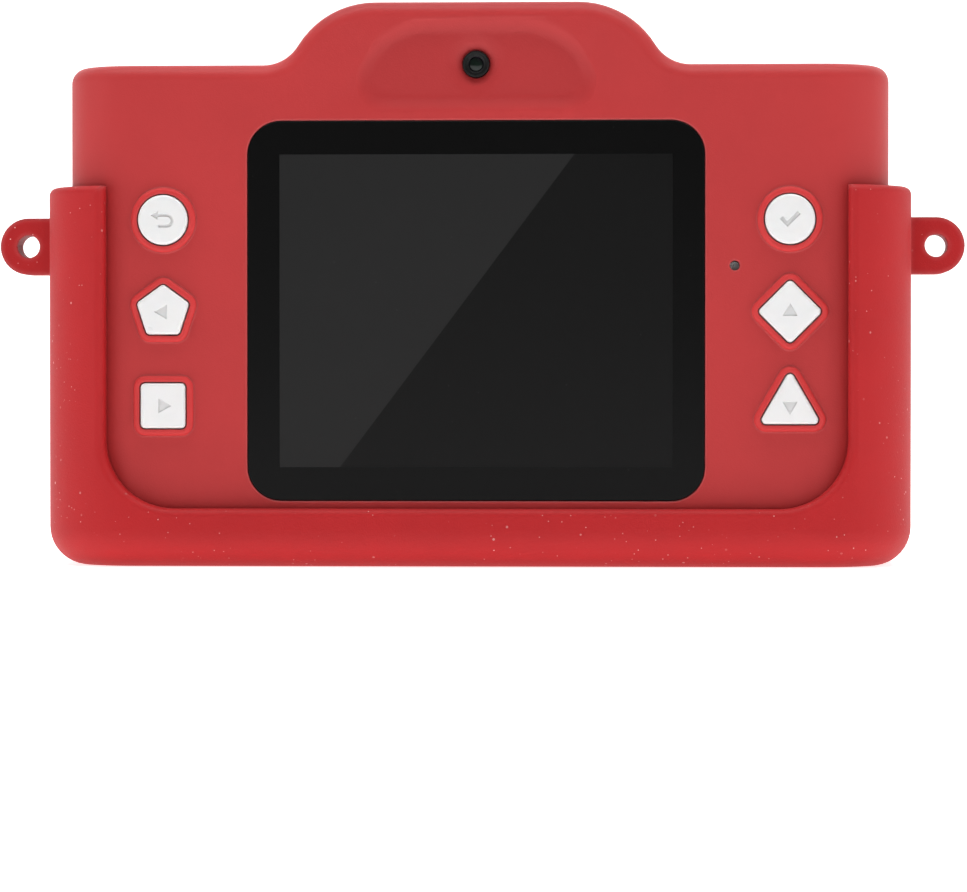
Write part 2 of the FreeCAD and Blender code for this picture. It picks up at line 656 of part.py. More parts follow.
def hump(name, inset, edge_round=None):
    """The middle hump with its S-shaped shoulders, set in from the outside by a wall."""
    body = doc.addObject("PartDesign::Body", name)
    top, foot = hump_top - inset, S.shoulder_height - inset
    root = S.shoulder_height - S.hump_root
    round_top = S.hump_round - inset
    rise, run = float(top - foot), float(S.hump_half_foot - S.hump_half_top)
    round_foot = (rise ** 2 + run ** 2) / (2 * rise) - float(round_top)
    half_top, half_foot = float(S.hump_half_top), float(S.hump_half_foot)
    high, low, base = float(top), float(foot), float(root)
    lean = math.degrees(math.atan2(low + round_foot - high + float(round_top), run))
    sketch = body_sketch(body, f"{name}_outline", "XZ_Plane")
    ridge = segment(sketch, (-half_top, high), (half_top, high))
    right_top = arc(sketch, (half_top, high - float(round_top)), round_top, lean, 90)
    right_foot = arc(sketch, (half_foot, low + round_foot), round_foot, lean + 180, 270)
    right_side = segment(sketch, (half_foot, low), (half_foot, base))
    bottom = segment(sketch, (half_foot, base), (-half_foot, base))
    left_side = segment(sketch, (-half_foot, base), (-half_foot, low))
    left_foot = arc(sketch, (-half_foot, low + round_foot), round_foot, 270, 360 - lean)
    left_top = arc(sketch, (-half_top, high - float(round_top)), round_top, 90, 180 - lean)
    relate(sketch, "Tangent", ridge, 2, right_top, 2)
    relate(sketch, "Tangent", right_top, 1, right_foot, 1)
    relate(sketch, "Perpendicular", right_foot, 2, right_side, 1)
    relate(sketch, "Coincident", right_side, 2, bottom, 1)
    relate(sketch, "Coincident", bottom, 2, left_side, 1)
    relate(sketch, "Perpendicular", left_side, 2, left_foot, 1)
    relate(sketch, "Tangent", left_foot, 2, left_top, 2)
    relate(sketch, "Tangent", left_top, 1, ridge, 1)
    relate(sketch, "Horizontal", bottom)
    relate(sketch, "Vertical", right_side)
    relate(sketch, "Vertical", left_side)
    relate(sketch, "Symmetric", ridge, 1, ridge, 2, -2)
    relate(sketch, "Symmetric", left_foot, 1, right_foot, 2, -2)
    dimension(sketch, "DistanceX", ridge, 1, ridge, 2, size=S.hump_half_top * 2)
    dimension(sketch, "DistanceX", left_foot, 1, right_foot, 2, size=S.hump_half_foot * 2)
    dimension(sketch, "DistanceY", -1, 1, ridge, 1, size=top)
    dimension(sketch, "DistanceY", -1, 1, right_side, 1, size=foot)
    dimension(sketch, "DistanceY", -1, 1, right_side, 2, size=root)
    dimension(sketch, "Radius", right_top, size=round_top)
    deep = S.body_depth - 2 * inset
    feature = pad(body, sketch, deep)
    if edge_round is not None:
        def on_face(edge):
            above = min(vertex.Point.z for vertex in edge.Vertexes) > low - NEAR
            return above and (lies_at(Y_AXIS, 0)(edge) or lies_at(Y_AXIS, -deep)(edge))
        roll(body, feature, edge_round, on_face)
    return place(body, 0, deep / 2, 0)


def body_form(name, inset, edge_round=None):
    """The camera body's outside, or the room inside its wall."""
    main = block(f"{name}_block", S.body_width - 2 * inset, S.body_depth - 2 * inset, S.side_roll - inset,
                 (body_base + inset, S.shoulder_height - inset), low_roll=edge_round, top_roll=edge_round)
    return fuse(name, main, hump(f"{name}_hump", inset, edge_round))


def casing_half(name, y):
    """The wall on one side of the parting plane."""
    outside = body_form(f"{name}_outside", 0, S.edge_roll)
    wall = cut(f"{name}_wall", outside, body_form(f"{name}_room", S.shell_wall))
    side = box(f"{name}_side", (-S.body_width, S.body_width), y, (-BIG, hump_top + BIG))
    return common(f"{name}_half", wall, side)


BUTTONS = (
    # name, sides, middle to corner, flat top, x, z
    ("back_button", 0, S.round_radius, False, -button_column, row_top),
    ("pentagon_button", 5, S.pentagon_radius, False, -button_column, row_middle),
    ("square_button", 4, S.square_radius, True, -button_column, row_bottom),
    ("ok_button", 0, S.round_radius, False, button_column, row_top),
    ("diamond_button", 4, S.diamond_radius, False, button_column, row_middle),
    ("triangle_button", 3, S.triangle_radius, False, button_column, row_bottom),
)
TOP_BUTTONS = (("shutter_button", top_button_x), ("power_button", -top_button_x))
BOARD_POSTS = (
    (-S.post_x, post_top), (S.post_x, post_top), (-post_low_x, S.post_low), (post_low_x, S.post_low),
)
BOSSES = tuple((side * boss_x, height) for side in (-1, 1) for height in (S.boss_low, boss_top))


def button_holes():
    holes = []
    for name, sides, radius, flat, x, z in BUTTONS:
        hole = prism(f"{name}_hole", sides, grown(radius, sides or 0, S.cap_gap), S.cap_corner + S.cap_gap,
                     flat, x, z, (rear_face - BIG, rear_inside + S.fit_gap / 2))
        holes.append(hole)
    for name, x in TOP_BUTTONS:
        holes.append(rod(f"{name}_hole", "z", S.top_button_radius + S.cap_gap,
                         (x, top_button_y, top_inside - S.flange_thick), BIG))
    return holes


def button_rims():
    """Raised rims round the rear buttons."""
    rims = []
    for name, sides, radius, flat, x, z in BUTTONS:
        rim = prism(f"{name}_rim", sides, grown(radius, sides or 0, S.rim_width),
                    S.cap_corner + S.rim_width, flat, x, z,
                    (rear_face - S.rim_height, rear_inside - S.shell_wall / 2), face_round=S.rim_round)
        rims.append(rim)
    return rims


def rear_recess(name, grow, deep):
    """One step of the shallow recess round the rear lens: a round-cornered trapezium with a sloping edge."""
    body = doc.addObject("PartDesign::Body", name)
    low, top = S.rear_recess_half_low + grow, S.rear_recess_half_top + grow
    tall = S.rear_recess_above + S.rear_recess_below + 2 * grow
    sketch = body_sketch(body, f"{name}_outline", "XZ_Plane")
    corners = [(-float(low), 0), (float(low), 0), (float(top), float(tall)), (-float(top), float(tall))]
    sides = [segment(sketch, corners[n], corners[(n + 1) % 4]) for n in range(4)]
    for number, side in enumerate(sides):
        relate(sketch, "Coincident", side, 2, sides[(number + 1) % 4], 1)
    relate(sketch, "PointOnObject", sides[0], 1, -1)
    relate(sketch, "Symmetric", sides[0], 1, sides[0], 2, -2)
    relate(sketch, "Symmetric", sides[2], 1, sides[2], 2, -2)
    dimension(sketch, "DistanceX", sides[0], 1, sides[0], 2, size=low * 2)
    dimension(sketch, "DistanceX", sides[2], 2, sides[2], 1, size=top * 2)
    dimension(sketch, "DistanceY", sides[0], 1, sides[2], 1, size=tall)
    feature = pad(body, sketch, deep + BIG)
    feature = roll(body, feature, S.rear_recess_low_corner + grow, low_corner)
    feature = roll(body, feature, S.rear_recess_top_corner + grow, high_corner)
    bevel = body.newObject("PartDesign::Chamfer", f"{name}_slope")
    names = [f"Edge{number}" for number, edge in enumerate(feature.Shape.Edges, start=1)
             if lies_at(Y_AXIS, 0)(edge)]
    bevel.Base = (feature, names)
    bevel.ChamferType = "Two distances"
    bevel.setExpression("Size", S.rear_recess_slope.formula)
    bevel.setExpression("Size2", (deep * SLOPE_SHARE).formula)
    doc.recompute()
    return place(body, 0, rear_face + deep, rear_lens_height - S.rear_recess_below - grow)


def rear_recess_steps():
    """Three nested steps that make the recess's edge roll over softly."""
    return [rear_recess(f"rear_recess_{n}", S.rear_recess_soft * wide, S.rear_recess_deep * deep)
            for n, (wide, deep) in enumerate(RECESS_STEPS)]


def low_corner(edge):
    return runs_along(Y_AXIS)(edge) and edge.Vertexes[0].Z < NEAR


def high_corner(edge):
    """The two upper corners, well above the recess's lower half."""
    return (runs_along(Y_AXIS)(edge) and edge.Vertexes[0].Z > float(S.rear_recess_above)
            and abs(edge.Vertexes[0].X) > float(S.rear_recess_half_top))


def rear_shell():
    half = casing_half("rear", (-BIG, 0))
    bosses = [rod_y(f"rear_boss_{n}", S.boss_radius, x, z, (rear_inside - S.shell_wall / 2, 0))
              for n, (x, z) in enumerate(BOSSES)]
    posts = [rod_y(f"board_post_{n}", S.post_radius, x, z, (rear_inside - S.shell_wall / 2, board_rear))
             for n, (x, z) in enumerate(BOARD_POSTS)]
    boss_bores = [rod_y(f"rear_boss_bore_{n}", S.shell_screw_radius, x, z, (-S.shell_screw_grip - PAST, PAST))
                  for n, (x, z) in enumerate(BOSSES)]
    post_bores = [rod_y(f"board_post_bore_{n}", S.board_screw_radius, x, z,
                        (board_front - S.board_screw_long - S.fit_gap, PAST))
                  for n, (x, z) in enumerate(BOARD_POSTS)]
    seat = plate("glass_seat", glass_width + 2 * S.glass_gap, glass_tall + 2 * S.glass_gap,
                 S.glass_corner + S.glass_gap, 0, screen_height, (rear_face - PAST, tape_rear))
    view = plate("view_opening", S.view_width, S.view_tall, S.view_corner, 0, screen_height,
                 (rear_face - PAST, rear_inside + PAST))
    lens = (0, rear_lens_height)
    recess_floor = rear_face + S.rear_recess_deep
    dimple = cone_y("rear_dimple", S.rear_dimple_radius, S.rear_barrel_radius, *lens,
                    (recess_floor, recess_floor + S.rear_recess_deep))
    through = (rear_face - PAST, rear_inside + PAST)
    lens_bore = rod_y("rear_lens_bore", S.rear_barrel_radius + S.fit_gap, *lens, through)
    mic = rod_y("mic_hole_tool", S.mic_hole, mic_x, mic_height, through)
    base = fuse("rear_solid", half, *button_rims(), *bosses, *posts)
    tools = button_holes() + boss_bores + post_bores + port_cuts("rear")
    return cut("rear_shell", base, seat, view, *rear_recess_steps(), dimple, lens_bore, mic, *tools)


def port_cuts(side):
    """Cut-outs of the casing's underside for the charging socket and the card."""
    socket = block(f"{side}_usb_cut", S.usb_wide + 4 * S.card_gap, S.usb_thick + 4 * S.card_gap,
                   S.usb_thick / 2, (body_base - PAST, floor_inside + PAST), x=-S.usb_x, y=usb_y)
    card = box(f"{side}_card_cut", around(S.card_x, S.card_wide + 4 * S.card_gap),
               around(card_y, S.card_thick + 4 * S.card_gap), (body_base - PAST, floor_inside + PAST))
    return [socket, card]


BEZEL_PINS = tuple(
    (S.bezel_pin_circle * math.cos(math.radians(angle)), S.front_lens_height
     + S.bezel_pin_circle * math.sin(math.radians(angle)))
    for angle in (90, 210, 330)
)


def front_shell():
    half = casing_half("front", (S.parting_gap, BIG))
    bosses = [rod_y(f"front_boss_{n}", S.boss_radius, x, z, (S.parting_gap, front_inside + S.shell_wall / 2))
              for n, (x, z) in enumerate(BOSSES)]
    bores = [rod_y(f"front_boss_bore_{n}", S.shell_screw_radius + S.screw_gap, x, z, (-1, BIG))
             for n, (x, z) in enumerate(BOSSES)]
    head_seat = front_face - S.shell_head_sunk - S.shell_head_thick
    counterbores = [rod_y(f"screw_well_{n}", S.shell_head_radius + S.screw_gap, x, z, (head_seat, BIG))
                    for n, (x, z) in enumerate(BOSSES)]
    module = S.front_module_side + 2 * S.card_gap
    collar_y = (front_inside - S.collar_deep, front_inside + S.shell_wall / 2)
    collar = box("collar_outside", around(Size.of(0), module + 2 * S.collar_wall), collar_y,
                 around(S.front_lens_height, module + 2 * S.collar_wall))
    room_y = (collar_y[0] - PAST, front_inside)
    collar_room = box("collar_room", around(Size.of(0), module), room_y, around(S.front_lens_height, module))
    gap = box("collar_notch", around(Size.of(0), S.camera_flex_wide + 2 * S.collar_wall), room_y,
              (S.front_lens_height - module, S.front_lens_height))
    barrel_bore = rod_y("front_barrel_bore", S.front_barrel_radius + S.screw_gap, 0, S.front_lens_height,
                        (front_inside - PAST, BIG))
    pins = [rod_y(f"bezel_pin_hole_{n}", S.bezel_pin_radius + S.fit_gap, x, z, (front_inside - PAST, BIG))
            for n, (x, z) in enumerate(BEZEL_PINS)]
    grille = [rod_y(f"speaker_hole_{n}", S.grille_hole, x, z, (front_inside - PAST, BIG))
              for n, (x, z) in enumerate(grille_places())]
    base = fuse("front_solid", half, *bosses, collar)
    return cut("front_shell", base, collar_room, gap, barrel_bore, *bores, *counterbores, *pins, *grille)


def grille_places():
    """One speaker hole in the middle and six round it."""
    ring = [(S.grille_circle * math.cos(math.radians(60 * n)) - speaker_x,
             S.grille_circle * math.sin(math.radians(60 * n)) + S.speaker_height) for n in range(6)]
    return [(-speaker_x, S.speaker_height)] + ring


def shell_screws():
    head_seat = front_face - S.shell_head_sunk - S.shell_head_thick
    screws = []
    for n, (x, z) in enumerate(BOSSES):
        head = rod_y(f"shell_screw_head_{n}", S.shell_head_radius, x, z,
                     (head_seat, head_seat + S.shell_head_thick))
        shank = rod_y(f"shell_screw_shank_{n}", S.shell_screw_radius - S.fit_gap / 2, x, z,
                      (-S.shell_screw_grip, head_seat + S.shell_head_thick / 2))
        screws.append(cut(f"shell_screw_{n}", fuse(f"shell_screw_blank_{n}", head, shank),
                          *cross_slot(f"shell_screw_{n}", x, z, head_seat + S.shell_head_thick,
                                      S.shell_head_radius)))
    return group("shell_screws", *screws)


def cross_slot(name, x, z, top, head_radius):
    """The two slots of a cross-head screw that is driven from +Y."""
    long, wide, deep = head_radius * 1.3, head_radius * 0.3, head_radius * 0.4
    return (box(f"{name}_slot_a", around(x, long), (top - deep, top + PAST), around(z, wide)),
            box(f"{name}_slot_b", around(x, wide), (top - deep, top + PAST), around(z, long)))


def board_screws():
    screws = []
    for n, (x, z) in enumerate(BOARD_POSTS):
        top = board_front + S.board_head_thick
        head = rod_y(f"board_screw_head_{n}", S.board_head_radius, x, z, (board_front, top))
        shank = rod_y(f"board_screw_shank_{n}", S.board_screw_radius - S.fit_gap / 2, x, z,
                      (board_front - S.board_screw_long, top - S.board_head_thick / 2))
        screws.append(cut(f"board_screw_{n}", fuse(f"board_screw_blank_{n}", head, shank),
                          *cross_slot(f"board_screw_{n}", x, z, top, S.board_head_radius)))
    return group("board_screws", *screws)


# The sleeve

def silicone_sleeve():
    """A soft U round the bottom and sides, open at front and rear, with an ear on each side."""
    grow = 2 * (S.sleeve_wall + S.sleeve_gap)
    outside = block("sleeve_outside", S.body_width + grow, S.body_depth + grow,
                    S.side_roll + S.sleeve_wall + S.sleeve_gap, (Size.of(0), S.arm_height),
                    low_roll=S.sleeve_roll)
    room = block("sleeve_room", S.body_width + 2 * S.sleeve_gap, S.body_depth + 2 * S.sleeve_gap,
                 S.side_roll + S.sleeve_gap, (S.sleeve_wall, hump_top), low_roll=S.edge_roll + S.sleeve_gap)
    ears = [ear(side) for side in (-1, 1)]
    window_tall = hump_top + S.arm_height
    window = plate("sleeve_window", window_width, window_tall, S.window_corner, 0,
                   S.lip_height + window_tall / 2, (-BIG, BIG))
    usb = block("sleeve_usb_window", S.usb_wide + 2 * S.plug_margin, S.usb_thick + 2 * S.plug_margin,
                S.port_roll, (-PAST, S.sleeve_wall + PAST), x=-S.usb_x, y=usb_y)
    card = block("sleeve_card_window", S.card_wide + 2 * S.card_margin,
                 S.card_thick + 2 * S.card_nail_room, S.port_roll,
                 (-PAST, S.sleeve_wall + PAST), x=S.card_x, y=card_y)
    base = fuse("sleeve_solid", outside, *(solid for solid, _ in ears))
    sharp = cut("sleeve_sharp", base, room, window, usb, card, *(hole for _, hole in ears))
    doc.recompute()
    return soften("silicone_sleeve", sharp, S.lip_round, on_lip)


def ear(side):
    """The ear's solid and its hole."""
    name = "left_ear" if side < 0 else "right_ear"
    sleeve_side = S.body_width / 2 + S.sleeve_wall + S.sleeve_gap
    hole_x = side * (sleeve_side + S.ear_reach)
    root_x = side * (sleeve_side - S.sleeve_wall / 2)
    deep = around(Size.of(0), S.ear_thickness)
    stem = (hole_x, root_x) if side < 0 else (root_x, hole_x)
    solid = fuse(name, rod_y(f"{name}_end", S.ear_radius, hole_x, ear_height, deep),
                 box(f"{name}_stem", stem, deep, around(ear_height, 2 * S.ear_radius)))
    hole = rod_y(f"{name}_hole", S.ear_hole, hole_x, ear_height, around(Size.of(0), S.ear_thickness + 2))
    return solid, hole


def sleeve_face(x):
    """How far the sleeve's outside stands from the parting plane at a place across its width."""
    roll_radius = float(S.side_roll + S.sleeve_wall + S.sleeve_gap)
    flat = float(S.body_depth) / 2 - float(S.side_roll)
    past = max(0.0, abs(x) - float(S.body_width) / 2 + float(S.side_roll))
    return flat + math.sqrt(max(0.0, roll_radius ** 2 - past ** 2))


def on_lip(edge):
    """Edges of the U-shaped windows and of the arms' tops on the sleeve's outside."""
    places = [vertex.Point for vertex in edge.Vertexes]
    places.append(edge.valueAt((edge.FirstParameter + edge.LastParameter) / 2))
    inside, low, top = float(window_width) / 2 + NEAR, float(S.lip_height) - NEAR, float(S.arm_height)
    outer_side = float(S.body_width) / 2 + float(S.sleeve_wall + S.sleeve_gap)
    on_face = all(abs(abs(p.y) - sleeve_face(p.x)) < 10 * NEAR for p in places)
    on_side = all(abs(abs(p.x) - outer_side) < NEAR for p in places)
    on_window = all(abs(p.x) < inside and p.z > low for p in places)
    on_top = all(abs(p.z - top) < NEAR for p in places)
    return (on_face and on_window) or (on_top and (on_face or on_side))


def soften(name, sharp, radius, wanted):
    """Round the edges that a test picks, on a shape made of booleans."""
    piece = doc.addObject("Part::Fillet", name)
    piece.Base = sharp
    size = float(radius)
    piece.Edges = [(number, size, size) for number, edge in enumerate(sharp.Shape.Edges, start=1)
                   if wanted(edge)]
    return piece


# The screen

def screen():
    glass = plate("screen_glass", glass_width, glass_tall, S.glass_corner, 0, screen_height,
                  (rear_face, glass_rear))
    tape_outside = plate("tape_outside", glass_width - 2 * S.tape_inset, glass_tall - 2 * S.tape_inset,
                         S.glass_corner - S.tape_inset, 0, screen_height, (glass_rear, tape_rear))
    tape_inside = plate("tape_inside", S.view_width + S.tape_inset, S.view_tall + S.tape_inset,
                        S.view_corner, 0, screen_height, (glass_rear - PAST, tape_rear + PAST))
    tape = cut("screen_adhesive", tape_outside, tape_inside)
    panel = box("display_panel", around(Size.of(0), panel_width), (panel_rear, panel_back),
                around(screen_height, panel_tall))
    reach = 2 * (S.tray_wall + S.fit_gap)
    tray_outside = box("tray_outside", around(Size.of(0), panel_width + reach),
                       (panel_rear, panel_back + S.tray_wall), around(screen_height, panel_tall + reach))
    tray_room = box("tray_room", around(Size.of(0), panel_width + 2 * S.fit_gap),
                    (panel_rear - PAST, panel_back), around(screen_height, panel_tall + 2 * S.fit_gap))
    flex_y = panel_rear + S.panel_thick / 2
    notch = box("tray_notch", around(Size.of(0), S.display_flex_wide + 4 * S.card_gap),
                around(flex_y, 4 * S.flex_thick),
                (panel_foot - panel_tall, panel_foot + S.fit_gap))
    tray = cut("display_frame", tray_outside, tray_room, notch)
    board_side = board_rear - S.socket_deep / 2
    turn_low = board_bottom_clear()
    flex = ribbon("display_flex", [(flex_y, panel_foot), (flex_y, turn_low), (board_side, turn_low),
                                   (board_side, panel_foot)], S.display_flex_wide)
    return glass, tape, panel, tray, flex


def board_bottom_clear():
    """Level of the display cable's fold, above the casing's floor."""
    return floor_inside + S.shell_wall


# The main board and what is on it

def main_board():
    blank = plate("board_blank", board_width, board_top - S.board_bottom, S.board_corner, 0,
                  (board_top + S.board_bottom) / 2, (board_rear, board_front))
    notches = [rod_y(f"boss_notch_{n}", S.boss_radius + 2 * S.screw_gap, x, z,
                     (board_rear - PAST, board_front + PAST)) for n, (x, z) in enumerate(BOSSES)]
    holes = [rod_y(f"board_hole_{n}", S.board_screw_radius + S.screw_gap, x, z,
                   (board_rear - PAST, board_front + PAST)) for n, (x, z) in enumerate(BOARD_POSTS)]
    return cut("main_board", blank, *notches, *holes)


def buttons():
    """Rear button caps with their flanges and signs, and the switch plunger behind each."""
    pieces = []
    plunger_end = board_rear - S.switch_floor - S.button_travel - S.fit_gap
    for name, sides, radius, flat, x, z in BUTTONS:
        cap = prism(name, sides, radius, S.cap_corner, flat, x, z, (cap_face, flange_front),
                    face_round=S.cap_round)
        sketch = body_sketch(cap, f"{name}_flange", "XZ_Plane")
        outline(sketch, sides, radius + S.flange_width, flat)
        pad(cap, sketch, S.flange_thick)
        engrave(cap, name, flange_front - cap_face)
        pieces.append(cap)
        pieces.append(rod_y(f"{name}_plunger", S.plunger_radius, x, z, (flange_front, plunger_end)))
    return pieces


ARROW_TURNS = {"pentagon_button": 90, "square_button": -90, "diamond_button": 0, "triangle_button": 180}


def engrave(cap, name, face):
    """Cut a generic sign into a cap: a triangle that points one way, a return arrow or a tick."""
    sketch = body_sketch(cap, f"{name}_sign", "XZ_Plane", offset=face)
    r = float(S.icon_radius)
    if name in ARROW_TURNS:
        turn = math.radians(ARROW_TURNS[name] + 90)
        corners = [(r * math.cos(turn + k * 2 * math.pi / 3), r * math.sin(turn + k * 2 * math.pi / 3))
                   for k in range(3)]
    elif name == "ok_button":
        corners = tick_outline(r)
    else:
        corners = return_arrow_outline(r)
    count = len(corners)
    sides = [segment(sketch, corners[n], corners[(n + 1) % count]) for n in range(count)]
    for number, side in enumerate(sides):
        relate(sketch, "Coincident", side, 2, sides[(number + 1) % count], 1)
    pocket(cap, sketch, S.icon_depth)


def tick_outline(r):
    """A tick mark as a closed outline."""
    wide = 0.32 * r
    return [(-1.2 * r, 0), (-1.2 * r + wide, wide), (-0.3 * r, -0.9 * r + 2 * wide),
            (1.2 * r - wide, 0.9 * r), (1.2 * r, 0.9 * r - wide), (-0.3 * r, -0.9 * r)]


def return_arrow_outline(r):
    """An arrow that points left, with a shaft that turns back under itself."""
    wide, bend = 0.3 * r, 0.8 * r
    turned_points = []
    for radius, angles in ((bend, range(90, -91, -15)), (bend - wide, range(-90, 91, 15))):
        for angle in angles:
            turned_points.append((0.5 * r + radius * math.cos(math.radians(angle)),
                                  -0.1 * r + radius * math.sin(math.radians(angle))))
    half = len(turned_points) // 2
    low = -0.1 * r - bend
    shaft_top = -0.1 * r + bend
    head = [(-0.6 * r, shaft_top - wide), (-0.6 * r, shaft_top - wide / 2 - 0.5 * r),
            (-1.4 * r, shaft_top - wide / 2), (-0.6 * r, shaft_top - wide / 2 + 0.5 * r),
            (-0.6 * r, shaft_top)]
    return head + turned_points[:half] + [(-0.5 * r, low), (-0.5 * r, low + wide)] + turned_points[half:]


def top_buttons():
    """Shutter and power buttons in the shoulders, and the plunger under each."""
    pieces = []
    top = S.shoulder_height - S.top_button_sunk
    for name, x in TOP_BUTTONS:
        cap = rod(f"{name}_cap", "z", S.top_button_radius, (x, top_button_y, top_flange_low),
                  top - top_flange_low)
        flange = rod(f"{name}_flange", "z", S.top_button_radius + S.top_flange_width,
                     (x, top_button_y, top_flange_low), S.flange_thick)
        blank = fuse(f"{name}_blank", cap, flange)
        doc.recompute()
        pieces.append(soften(name, blank, S.cap_round, lies_at(Z_AXIS, top)))
        pieces.append(rod(f"{name}_plunger", "z", S.top_plunger_radius, (x, top_button_y, top_plunger_low),
                          top_flange_low - top_plunger_low))
    return pieces


def switch_bases():
    rear = []
    for name, _, _, _, x, z in BUTTONS:
        can = box(f"{name}_can", around(x, S.switch_side), (switch_face, board_rear),
                  around(z, S.switch_side))
        bore = rod_y(f"{name}_can_bore", S.plunger_radius + S.plunger_gap, x, z,
                     (switch_face - PAST, board_rear - S.switch_floor))
        rear.append(cut(f"{name}_switch", can, bore))
    top = []
    for name, x in TOP_BUTTONS:
        can = box(f"{name}_can", around(x, S.switch_side), (board_front, board_front + S.top_switch_deep),
                  (top_switch_face - S.top_switch_tall, top_switch_face))
        bore = rod(f"{name}_can_bore", "z", S.top_plunger_radius + S.plunger_gap,
                   (x, top_button_y, top_plunger_low - S.button_travel - S.fit_gap), BIG)
        top.append(cut(f"{name}_switch", can, bore))
    return group("rear_switch_bases", *rear), group("top_switch_bases", *top)


def microphone():
    tall = (board_rear - S.mic_tall, board_rear)
    can = rod_y("microphone", S.mic_radius, mic_x, mic_height, tall)
    boot_outside = rod_y("boot_outside", S.mic_boot_radius, mic_x, mic_height,
                         (rear_inside, board_rear - S.mic_tall / 2))
    boot_bore = rod_y("boot_bore", S.mic_hole, mic_x, mic_height, (rear_inside - PAST, board_rear))
    boot_seat = rod_y("boot_seat", S.mic_radius, mic_x, mic_height, tall)
    return can, cut("microphone_boot", boot_outside, boot_bore, boot_seat)


def usb_socket():
    shell = block("usb_shell", S.usb_wide, S.usb_thick, usb_round, (usb_mouth, usb_mouth + S.usb_long),
                  x=-S.usb_x, y=usb_y)
    end = usb_mouth + S.usb_long - 2 * S.usb_wall
    room = block("usb_room", S.usb_wide - 2 * S.usb_wall, S.usb_thick - 2 * S.usb_wall,
                 usb_round - S.usb_wall, (usb_mouth - PAST, end), x=-S.usb_x, y=usb_y)
    tongue = box("usb_tongue", around(-S.usb_x, S.usb_tongue_wide), around(usb_y, S.usb_tongue_thick),
                 (usb_mouth + S.usb_tongue_sunk, end))
    return cut("usb_socket", shell, room), tongue


def card_slot():
    deep = S.card_thick + 2 * S.card_gap
    wide = S.card_wide + 2 * S.card_gap
    outside = box("slot_outside", around(S.card_x, wide + 2 * S.slot_wall),
                  (board_front, board_front + deep + 2 * S.slot_skin),
                  (S.slot_bottom, S.slot_bottom + S.slot_long))
    room = box("slot_room", around(S.card_x, wide), around(card_y, deep),
               (S.slot_bottom - PAST, card_edge + S.card_long + S.card_gap))
    card = box("card_blank", around(S.card_x, S.card_wide), around(card_y, S.card_thick),
               (card_edge, card_edge + S.card_long))
    doc.recompute()
    corner = soften("memory_card", card, S.card_thick / 2, runs_along(Y_AXIS))
    return cut("card_slot", outside, room), corner


def board_extras():
    """Chips and flex connectors that are soldered to the board."""
    chip_y = (board_front, board_front + S.chip_thick)
    processor = box("processor", around(-S.chip_side / 3, S.chip_side), chip_y,
                    around(S.board_bottom + S.chip_side, S.chip_side))
    memory = box("memory_chip", around(-post_low_x, S.memory_long), chip_y,
                 around(row_bottom - S.memory_drop, S.memory_long))
    driver = box("driver_chip", around(post_low_x, S.memory_long / 2), chip_y,
                 around(row_middle, S.memory_long / 2))
    rear_y = (board_rear - S.socket_deep, board_rear)
    display = box("display_connector", around(Size.of(0), S.display_flex_wide + 2 * S.socket_margin), rear_y,
                  (panel_foot, panel_foot + S.socket_tall))
    rear_top = rear_flex_low()
    rear = box("rear_camera_connector", around(Size.of(0), S.camera_flex_wide + 2 * S.socket_margin), rear_y,
               (rear_top - S.socket_tall, rear_top))
    front = box("front_camera_connector", around(Size.of(0), S.camera_flex_wide + 2 * S.socket_margin),
                (board_front, board_front + S.socket_deep), around(front_flex_level(), S.front_socket_tall))
    return group("board_chips", processor, memory, driver), group("flex_connectors", display, rear, front)


def rear_flex_low():
    return rear_lens_height - S.rear_module_side


def front_flex_level():
    return S.battery_bottom - S.flex_drop


# The two cameras

def rear_camera():
    lens = (0, rear_lens_height)
    module = box("rear_camera_module", around(Size.of(0), S.rear_module_side),
                 (rear_inside, rear_inside + S.rear_module_deep),
                 around(rear_lens_height, S.rear_module_side))
    barrel_front = rear_face + S.rear_recess_deep
    glass_floor = barrel_front + S.rear_glass_radius
    barrel_rod = rod_y("rear_barrel_rod", S.rear_barrel_radius, *lens, (barrel_front, rear_inside))
    barrel_bore = rod_y("rear_barrel_bore", S.rear_glass_radius, *lens, (barrel_front - PAST, glass_floor))
    dome = ball("rear_glass_ball", DOME_RADIUS * S.rear_glass_radius, 0,
                glass_floor + REAR_DOME * S.rear_glass_radius, rear_lens_height)
    glass = common("rear_lens_glass", dome, rod_y("rear_glass_rod", S.rear_glass_radius, *lens,
                                                  (barrel_front - PAST, glass_floor)))
    flex_y = rear_inside + S.rear_module_deep - S.flex_thick
    low = rear_flex_low()
    flex = box("rear_camera_flex", around(Size.of(0), S.camera_flex_wide), around(flex_y, S.flex_thick),
               (low, rear_lens_height - S.rear_module_side / 2))
    return module, cut("rear_lens_barrel", barrel_rod, barrel_bore), glass, flex


